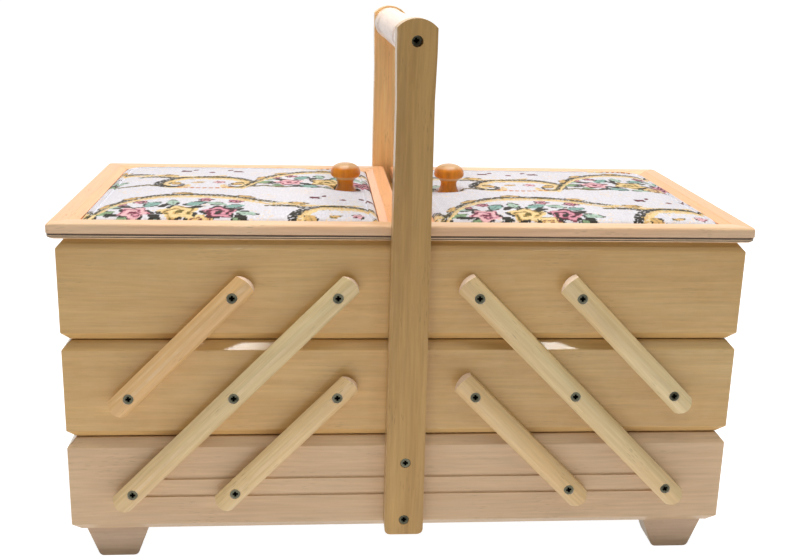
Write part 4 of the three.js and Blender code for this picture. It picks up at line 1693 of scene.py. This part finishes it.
@dataclass
class Handle:
    """The two posts, the turned rod between them, and the screws that hold them."""

    rod_height: float = 346.8 * MM
    half_length: float = 110.5 * MM
    post_face: float = 125.8 * MM
    foot_screws: tuple[float, float] = (35.9 * MM, 76.9 * MM)
    foot_screw_length: float = 22 * MM
    top_screw_length: float = 34 * MM
    sink: float = 0.5 * MM
    deep_sink: float = 8 * MM
    ease: float = 1.1 * MM
    end_radius: float = 12 * MM
    neck_radius: float = 9.2 * MM
    grip_radius: float = 11.5 * MM

    def stations(self) -> list[tuple[Vector, float]]:
        """Lists the rod's stations from one post to the other.

        Returns:
            The middle and the radius at each station.
        """
        half = [(0.0, self.grip_radius), (40, self.grip_radius), (62, self.grip_radius * 0.995),
                (70, self.grip_radius * 0.96), (73, 9.9 * MM), (74.5, self.neck_radius),
                (76.5, 9.4 * MM), (82, 10.4 * MM), (90, self.end_radius * 0.97), (100, self.end_radius),
                (self.half_length / MM, self.end_radius)]
        curve = smooth_curve([(y, r / MM) for y, r in half], 6)
        whole = [(-y, r) for y, r in reversed(curve[1:])] + list(curve)
        return [(Vector((0, y * MM, self.rod_height)), r * MM) for y, r in whole]

    def dress(self, shop: Workshop) -> None:
        """Builds the posts and the rod.

        Args:
            shop: What to build with.
        """
        for face in Face:
            node = f"post_{face.value}"
            post = ease_edges(merged_copy(node, node + "_board"), self.ease, 3, 40)
            lay_boards(post, [Board.of(Grain.UP, 70 + face.sign, 0.5)])
            mount(post, "base", shop.finishes.posts[face], [node])
        rod = shop.rods.turn("handle_rod_turned", self.stations(), shop.finishes.handle)
        lay_boards(rod, [Board.of(Grain.DEEP, 77, 0.6)])
        mount(rod, "base", shop.finishes.handle, ["handle_rod"])

    def screw_spots(self) -> tuple[list[ScrewSpot], list[str]]:
        """Lists the fixing screws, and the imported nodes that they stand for.

        Returns:
            The screws and the names of the nodes.
        """
        spots, nodes = [], []
        for face in Face:
            way = (0, face.sign, 0)
            for name, z in zip(("lower", "upper"), self.foot_screws):
                place = (0, face.sign * (self.post_face - self.sink), z)
                spots.append(ScrewSpot(place, way, self.foot_screw_length))
                nodes.append(f"post_screw_{face.value}_{name}")
            place = (0, face.sign * (self.post_face - self.deep_sink), self.rod_height)
            spots.append(ScrewSpot(place, way, self.top_screw_length))
            nodes.append(f"handle_screw_{face.value}")
        return spots, nodes


@dataclass
class Base:
    """The bottom box with its feet and every screw that it holds."""

    ease: float = 1.2 * MM

    def dress(self, shop: Workshop, linkages: Sequence[Linkage], handle: Handle) -> None:
        """Builds the box, its feet and its screws.

        Args:
            shop: The finishes and trees.
            linkages: The arms of both sides.
            handle: The handle.
        """
        Carcass("base_box", "base", seed=10, front=110.5 * MM, floor_thickness=4 * MM,
                grooves=(25.7 * MM, 38.1 * MM)).dress(shop)
        for side in Side:
            for face in Face:
                node = f"foot_{face.value}_{side.value}"
                foot = ease_edges(merged_copy(node, node + "_block"), self.ease, 3, 35)
                lay_boards(foot, [Board.of(Grain.ACROSS, 20 + 2 * side.sign + face.sign, 0.5)])
                mount(foot, "base", shop.finishes.foot, [node])
        pivots = [spot for linkage in linkages for spot in linkage.screw_spots("base")]
        mount(shop.screws.drive("base_pivot_screws", pivots, HeadStyle.PIVOT, shop.finishes.zinc),
              "base", shop.finishes.zinc)
        spots, nodes = handle.screw_spots()
        mount(shop.screws.drive("post_fixing_screws", spots, HeadStyle.FIXING, shop.finishes.zinc),
              "base", shop.finishes.zinc, nodes)


@dataclass
class Pad:
    """The stuffed, tapestry-covered panel in a lid."""

    side: Side
    knob_x: float
    cell: float = 0.75 * MM
    voxel: float = 5 * MM
    start_drop: float = 2.2 * MM
    shoulder: float = 24 * MM
    rim: float = 229.2 * MM
    crown: float = 236.0 * MM
    underside: float = 226.0 * MM
    least_depth: float = 1.5 * MM
    blown_share: float = 0.5
    blend_width: float = 4 * MM
    ripple: float = 0.1 * MM
    ripple_lengths: Point = (5.1 * MM, 17 * MM)
    knob_seat: float = 231.3 * MM
    knob_base: float = 7.8 * MM
    dimple_reach: float = 9 * MM
    settling_frames: int = 20
    farthest_move: float = 5 * MM
    edges: tuple[float, float] = (-225.0, 2.5)
    bouquet: Point = (72.5, -80.0)
    half_repeat: float = 97.0

    def crown_height(self, x: np.ndarray, y: np.ndarray, low: Vector, high: Vector) -> np.ndarray:
        """Gives the plain crowned height before the cloth is relaxed.

        Args:
            x: Positions across.
            y: Positions front to back.
            low: The panel's lowest corner.
            high: The panel's highest corner.

        Returns:
            The height of the top at each position.
        """
        near = np.minimum(np.minimum(x - low.x, high.x - x), np.minimum(y - low.y, high.y - y))
        u, v = (np.clip(np.minimum(p - a, b - p) / self.shoulder, 0, 1) for p, a, b in
                ((x, low.x, high.x), (y, low.y, high.y)))
        rise = np.sqrt(np.clip(1 - (1 - u) ** 2.4, 0, 1) * np.clip(1 - (1 - v) ** 2.4, 0, 1))
        return self.rim + (self.crown - self.rim) * rise * np.clip(near / (1.2 * MM), 0.0, 1.0) ** 0.5

    def relaxed(self, low: Vector, high: Vector) -> BVHTree:
        """Blows the cover up under pressure and lets it settle, with its underside held.

        Args:
            low: The panel's lowest corner.
            high: The panel's highest corner.

        Returns:
            The settled surface, ready to be sampled.
        """
        steps = 30
        xs, ys = np.linspace(low.x, high.x, steps), np.linspace(low.y, high.y, steps)
        gx, gy = np.meshgrid(xs, ys, indexing="ij")
        top = self.crown_height(gx, gy, low, high) - self.start_drop
        points, faces = grid_shell(gx, gy, np.maximum(top, self.underside + self.least_depth), self.underside)
        start = mesh_object(f"pad_start_{self.side.value}", points, faces)
        remesh = start.modifiers.new("voxels", "REMESH")
        remesh.mode, remesh.voxel_size = "VOXEL", self.voxel
        settle(start)
        before = coordinates(start.data)
        held = start.vertex_groups.new(name="held")
        floor_line = self.underside + self.voxel * 0.6
        held.add([i for i, p in enumerate(before) if p[2] < floor_line], 1.0, "REPLACE")
        cloth = start.modifiers.new("cloth", "CLOTH")
        cloth.settings.use_pressure = True
        cloth.settings.uniform_pressure_force = 4
        cloth.settings.vertex_group_mass = "held"
        cloth.settings.effector_weights.gravity = 0
        cloth.settings.tension_stiffness = cloth.settings.compression_stiffness = 25
        cloth.settings.bending_stiffness = 1.5
        cloth.point_cache.frame_start, cloth.point_cache.frame_end = 1, self.settling_frames
        for number in range(1, self.settling_frames + 1):
            bpy.context.scene.frame_set(number)
        settle(start)
        bpy.context.scene.frame_set(1)
        after = coordinates(start.data)
        move = after - before
        length = np.linalg.norm(move, axis=1, keepdims=True)
        after = before + move * np.minimum(1, self.farthest_move / np.maximum(length, 1e-9))
        start.data.vertices.foreach_set("co", after.astype(np.float32).ravel())
        start.data.update()
        start.modifiers.new("rounder", "SUBSURF").levels = 1
        settle(start)
        faces = [tuple(p.vertices) for p in start.data.polygons]
        made = BVHTree.FromPolygons([Vector(p) for p in coordinates(start.data)], faces)
        bpy.data.objects.remove(start)
        return made

    def heights(self, gx: np.ndarray, gy: np.ndarray, low: Vector, high: Vector) -> np.ndarray:
        """Gives the finished height of the cover over a grid.

        Args:
            gx: Positions across.
            gy: Positions front to back.
            low: The panel's lowest corner.
            high: The panel's highest corner.

        Returns:
            The heights.
        """
        made = self.crown_height(gx, gy, low, high)
        tree = self.relaxed(low, high)
        down = Vector((0, 0, -1))
        blown = made.copy()
        for index in np.ndindex(made.shape):
            hit = tree.ray_cast(Vector((gx[index], gy[index], high.z + 0.05)), down)[0]
            if hit is not None:
                blown[index] = hit.z
        scale = (self.crown - self.rim) / max(float(np.percentile(blown, 99.5)) - self.rim, 1 * MM)
        blown = self.rim + (blown - self.rim) * scale
        near = np.minimum(np.minimum(gx - low.x, high.x - gx), np.minimum(gy - low.y, high.y - gy))
        share = np.clip(near / self.blend_width, 0, 1)
        share = self.blown_share * share * share * (3 - 2 * share)
        made = np.minimum(made * (1 - share) + blown * share, self.crown)
        r = np.hypot(gx - self.side.sign * self.knob_x, gy)
        t = np.clip((r - self.knob_base) / self.dimple_reach, 0, 1)
        seat = self.knob_seat + (self.crown - self.knob_seat) * (1 - (1 - t) ** 2.2)
        made = np.where(r < self.knob_base + self.dimple_reach, np.minimum(made, seat), made)
        ripple = np.sin(gx / self.ripple_lengths[0]) * np.sin(gy / self.ripple_lengths[1]) * self.ripple
        return made + np.where(made < self.crown - 2 * self.ripple, ripple * np.clip(t, 0, 1), 0)

    def build(self) -> bpy.types.Object:
        """Makes the panel: a fine top for the weave, a skirt and a plain underside.

        Returns:
            The panel.
        """
        low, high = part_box(f"lid_pad_{self.side.value}")
        counts = [max(2, round((b - a) / self.cell)) + 1 for a, b in ((low.x, high.x), (low.y, high.y))]
        xs = np.linspace(low.x, high.x, counts[0])
        ys = np.linspace(low.y, high.y, counts[1])
        gx, gy = np.meshgrid(xs, ys, indexing="ij")
        top = self.heights(gx, gy, low, high)
        points, faces = grid_shell(gx, gy, top, self.underside)
        piece = mesh_object(f"lid_pad_{self.side.value}_cover", points, faces)
        edge = self.edges[self.side is Side.RIGHT]
        first = (edge + self.bouquet[0], self.bouquet[1])
        colours = Tapestry(xs, ys, seed=3).repeat(first, self.half_repeat).reshape(-1, 3)
        flat = np.ones((len(points), 4), np.float32)
        flat[:len(colours), :3] = colours
        motif = piece.data.attributes.new(MOTIF, "FLOAT_COLOR", "POINT")
        motif.data.foreach_set("color", flat.ravel())
        return shade(piece, sharp=60)


def grid_shell(gx: np.ndarray, gy: np.ndarray, top: np.ndarray, bottom: float) -> tuple[np.ndarray, list]:
    """Closes a height field with a skirt and a flat underside.

    Args:
        gx: Positions across.
        gy: Positions front to back.
        top: Heights.
        bottom: The height of the underside.

    Returns:
        The points, the top's first, and the faces.
    """
    rows, columns = gx.shape
    upper = np.stack([gx, gy, top], -1).reshape(-1, 3)
    number = np.arange(rows * columns).reshape(rows, columns)
    faces = np.stack([number[:-1, :-1], number[1:, :-1], number[1:, 1:], number[:-1, 1:]], -1)
    faces = [tuple(f) for f in faces.reshape(-1, 4).tolist()]
    rim = np.concatenate([number[:-1, 0], number[-1, :-1], number[:0:-1, -1], number[0, :0:-1]])
    lower = upper[rim].copy()
    lower[:, 2] = bottom
    base, count = len(upper), len(rim)
    for i in range(count):
        j = (i + 1) % count
        faces.append((int(rim[i]), base + i, base + j, int(rim[j])))
    middle = base + count
    points = np.concatenate([upper, lower, [[gx.mean(), gy.mean(), bottom]]])
    faces += [(base + i, middle, base + (i + 1) % count) for i in range(count)]
    return points, faces


@dataclass
class Lid:
    """One lid: plywood board, mitred frame, pad, knob and hinges."""

    side: Side
    outer_rail: float = 17.5 * MM
    inner_rail: float = 15.5 * MM
    side_rail: float = 17 * MM
    edge_bevel: float = 2.4 * MM
    corner_radius: float = 2.5 * MM
    slope: float = 5.5 * MM
    slope_drop: float = 2 * MM
    ease: float = 0.5 * MM
    knob_x: float = 37.5 * MM
    hinge_y: float = 65 * MM
    hinge_screw_gap: float = 16 * MM
    tray_leaf_face: float = 220.85 * MM
    tray_screw_height: float = 210.6 * MM
    tray_screw_reach: float = 6 * MM
    lid_screw_place: float = 213.4 * MM
    lid_leaf_face: float = 222.3 * MM
    lid_screw_reach: float = 2.4 * MM

    def frame_piece(self) -> bpy.types.Object:
        """Makes the four mitred rails.

        Returns:
            The frame.
        """
        low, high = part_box(f"lid_frame_{self.side.value}")
        at_low, at_high = ((self.outer_rail, self.inner_rail) if self.side is Side.LEFT
                           else (self.inner_rail, self.outer_rail))
        inner = (low.x + at_low, low.y + self.side_rail, high.x - at_high, high.y - self.side_rail)
        width, rise = self.side_rail, self.edge_bevel
        arc = [(rise * (1 - math.sin(a)) / width, high.z - rise * (1 - math.cos(a)))
               for a in (math.radians(d) for d in (90, 60, 30, 0))]
        slope = 1 - self.slope / width
        profile = [(0, low.z), *arc, (slope, high.z), (slope + 0.012, high.z - 0.35 * MM),
                   (1 - 0.04, high.z - self.slope_drop * 0.9), (1, high.z - self.slope_drop), (1, low.z)]
        made = MitredFrame((low.x, low.y, high.x, high.y), inner, profile, self.corner_radius)
        piece = made.build(f"lid_rails_{self.side.value}", (self.ease * 0.5, 2, 30))
        return lay_boards(piece, MitredFrame.boards(90 + 5 * self.side.sign, upright=False))

    def knob(self) -> bpy.types.Object:
        """Turns the knob.

        Returns:
            The knob.
        """
        low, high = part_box(f"lid_knob_{self.side.value}")
        marks = [(0, 0), (0.0, 6.9), (0.5, 7.6), (1.4, 7.7), (3.0, 7.1), (5.2, 6.1), (7.4, 5.7), (9.2, 6.0),
                 (10.7, 7.2), (11.8, 9.0), (12.9, 10.2), (14.4, 10.74), (16.3, 10.6), (18.0, 9.9),
                 (19.5, 8.6), (20.7, 6.8), (21.5, 4.7), (21.9, 2.6), (22, 0.0)]
        profile = [marks[0], *smooth_curve(marks[1:-1], 3), marks[-1]]
        start = Vector(((low.x + high.x) / 2, 0, low.z))
        points, faces = lathe([(h * MM, r * MM) for h, r in profile], 56, Vector((0, 0, 1)), start)
        piece = mesh_object(f"lid_knob_{self.side.value}_turned", points, faces)
        return lay_boards(shade(piece, sharp=60), [Board.of(Grain.UP, 60 + self.side.sign, 0.5)])

    def hinge_spots(self) -> dict[str, list[ScrewSpot]]:
        """Lists the hinge screws of the tray leaves and of the lid leaves.

        Returns:
            The screws of each kind of leaf.
        """
        made: dict[str, list[ScrewSpot]] = {"tray": [], "lid": []}
        for face in Face:
            for step in (-0.5, 0.5):
                y = face.sign * self.hinge_y + step * self.hinge_screw_gap
                tray = (self.side.sign * self.tray_leaf_face, y, self.tray_screw_height)
                lid = (self.side.sign * self.lid_screw_place, y, self.lid_leaf_face)
                made["tray"].append(ScrewSpot(tray, (self.side.sign, 0, 0), self.tray_screw_reach))
                made["lid"].append(ScrewSpot(lid, (0, 0, -1), self.lid_screw_reach))
        return made

    def dress(self, shop: Workshop) -> None:
        """Builds the lid's pieces and gives them their finish.

        Args:
            shop: What to build with.
        """
        side, finishes = self.side.value, shop.finishes
        body, tray = f"{side}_lid", f"{side}_top_tray"
        board = ease_edges(merged_copy(f"lid_board_{side}", f"lid_board_{side}_sheet"), 0.3 * MM)
        lay_boards(board, [Board.of(Grain.DEEP, 80 + self.side.sign, 0.5, sheet=True)])
        mount(board, body, finishes.lid_sheet, [f"lid_board_{side}"])
        mount(self.frame_piece(), body, finishes.rail, [f"lid_frame_{side}"])
        pad = Pad(self.side, self.knob_x).build()
        mount(pad, body, finishes.cloth, [f"lid_pad_{side}"])
        mount(self.knob(), body, finishes.knob, [f"lid_knob_{side}"])
        dress_node(f"knob_screw_{side}", finishes.zinc)
        for leaf, owner in (("tray", tray), ("lid", body)):
            for face in Face:
                node = f"hinge_{leaf}_leaf_{side}_{face.value}"
                piece = ease_edges(merged_copy(node, node + "_plate"), 0.18 * MM, 2, 35)
                mount(piece, owner, finishes.brass, [node])
            spots = self.hinge_spots()[leaf]
            screws = shop.screws.drive(f"hinge_{leaf}_screws_{side}", spots, HeadStyle.HINGE, finishes.brass)
            mount(screws, owner, finishes.brass)


# --------------------------------------------------------------------------- stage


@dataclass(frozen=True)
class Lamp:
    """A square studio lamp aimed at a point of the box."""

    name: str
    place: tuple[float, float, float]
    size: tuple[float, float]
    power: float
    target: tuple[float, float, float] = (0.0, 0.0, 0.15)
    warmth: str = "FFFFFF"
    seen: bool = True


@dataclass
class Stage:
    """The pale floor, the studio light and the camera."""

    floor_size: float = 12.0
    floor_colour: str = "A6A6A8"
    lens: float = 48.84
    camera_place: tuple[float, float, float] = (-0.06162, -0.77322, 0.38462)
    yaw: float = -0.084578
    pitch: float = -0.274797
    roll: float = -0.026157
    world_strength: float = 0.05
    floor_glow: float = 0.97
    lamps: tuple[Lamp, ...] = (
        Lamp("overhead", (-0.02, 0.16, 1.7), (1.5, 1.1), 32.0, (0, 0, 0.1), "FFF6EC"),
        Lamp("glare_left", (-0.21, -0.80, 1.62), (0.09, 0.17), 2.0, (-0.1, -0.1, 0.12), "FFFDF8"),
        Lamp("glare_right", (0.46, -0.80, 1.62), (0.09, 0.17), 2.0, (0.1, -0.1, 0.12), "FFFDF8"),
        Lamp("floor_bounce", (0.0, -0.56, 0.004), (1.7, 0.9), 2.5, (0, -0.56, 1.0), "F4F2FF", False),
        Lamp("base_bounce", (0.0, -0.23, 0.004), (1.1, 0.16), 0.28, (0, -0.23, 1.0), "F4F0FF", False),
        Lamp("front_fill", (-0.3, -1.5, 0.3), (1.1, 0.5), 3.0, (0, 0, 0.12), "FFFAF4", False),
    )

    def floor(self) -> bpy.types.Object:
        """Makes the floor, with a curved rise far behind the box.

        Returns:
            The floor.
        """
        size, rise = self.floor_size, 3.0
        rows = [(-size / 2, 0.0), (size / 4, 0.0)]
        rows += [(size / 4 + rise * math.sin(math.radians(a)), rise * (1 - math.cos(math.radians(a))))
                 for a in range(10, 91, 10)]
        rows.append((size / 4 + rise, rise * 2))
        points = [(x, y, z) for y, z in rows for x in (-size / 2, size / 2)]
        faces = [(2 * i, 2 * i + 1, 2 * i + 3, 2 * i + 2) for i in range(len(rows) - 1)]
        mesh = bpy.data.meshes.new("studio_floor")
        mesh.from_pydata(points, [], faces)
        made = shade(link_mesh("studio_floor", mesh))
        made.data.materials.append(self.floor_material())
        return made

    def floor_material(self) -> bpy.types.Material:
        """Makes the floor's finish, which looks pale and keeps the box's shadow.

        Returns:
            The finish.
        """
        material, b, shader = empty_material("studio_floor")
        place = b.node("ShaderNodeTexCoord").outputs["Object"]
        grit = b.noise(b.spread(place, (40, 40, 40)), 4)
        base = b.blend(b.math("MULTIPLY", grit, 0.06), tint(self.floor_colour), tint("98989C"))
        b.feed(shader.inputs["Base Color"], base)
        b.feed(shader.inputs["Roughness"], 0.7)
        b.feed(shader.inputs["Emission Color"], (1, 1, 1, 1))
        b.feed(shader.inputs["Emission Strength"], b.math("MULTIPLY", b.seen(), self.floor_glow))
        return material

    def world(self) -> None:
        """Makes the world: even light on the box, and white where it is seen."""
        world = bpy.data.worlds.new("studio")
        bpy.context.scene.world = world
        world.use_nodes = True
        world.node_tree.nodes.clear()
        b = NodeBench(world.node_tree)
        strength = b.math("MULTIPLY_ADD", b.seen(), 1.0 - self.world_strength, self.world_strength)
        light = b.node("ShaderNodeBackground", {"Color": (1, 1, 1, 1), "Strength": strength})
        b.node("ShaderNodeOutputWorld", {"Surface": light.outputs[0]})

    def camera(self) -> None:
        """Makes the camera."""
        data = bpy.data.cameras.new("camera")
        data.lens, data.sensor_width = self.lens, 36.0
        data.dof.use_dof = False
        made = bpy.data.objects.new("camera", data)
        bpy.context.scene.collection.objects.link(made)
        turn = (Matrix.Rotation(self.yaw, 4, "Z") @ Matrix.Rotation(self.pitch, 4, "X")
                @ Matrix.Rotation(self.roll, 4, "Y") @ Matrix.Rotation(math.pi / 2, 4, "X"))
        made.matrix_world = Matrix.Translation(self.camera_place) @ turn
        bpy.context.scene.camera = made

    def light(self, lamp: Lamp) -> None:
        """Hangs one lamp.

        Args:
            lamp: The lamp.
        """
        data = bpy.data.lights.new(lamp.name, "AREA")
        data.shape, data.size, data.size_y = "RECTANGLE", *lamp.size
        data.energy, data.color = lamp.power, tint(lamp.warmth)[:3]
        made = bpy.data.objects.new(lamp.name, data)
        bpy.context.scene.collection.objects.link(made)
        made.location = lamp.place
        aim = Vector(lamp.target) - Vector(lamp.place)
        made.rotation_mode = "QUATERNION"
        made.rotation_quaternion = aim.to_track_quat("-Z", "Y")
        made.visible_camera = made.visible_glossy = lamp.seen

    def build(self) -> None:
        """Sets the whole stage."""
        self.floor()
        self.world()
        self.camera()
        for lamp in self.lamps:
            self.light(lamp)
        bpy.context.scene.view_settings.view_transform = "Standard"
        LOG.info("stage: %d lamps", len(self.lamps))


def main() -> None:
    """Builds the box in order: stage, base, handle, then each side's arms, trays and lid."""
    logging.basicConfig(level=logging.INFO, format="%(message)s")
    Stage().build()
    shop = Workshop(Finishes(Effects()), ScrewTree(), RodTree())
    linkages = [Linkage(side) for side in Side]
    handle = Handle()
    Base().dress(shop, linkages, handle)
    handle.dress(shop)
    for linkage in linkages:
        linkage.dress(shop)
        side = linkage.side.value
        for number, level in enumerate(("middle", "top")):
            seed = 100 + 20 * number + 50 * (linkage.side is Side.RIGHT)
            Carcass(f"tray_{level}_{side}", f"{side}_{level}_tray", seed).dress(shop)
        Lid(linkage.side).dress(shop)


if __name__ == "__main__":
    main()
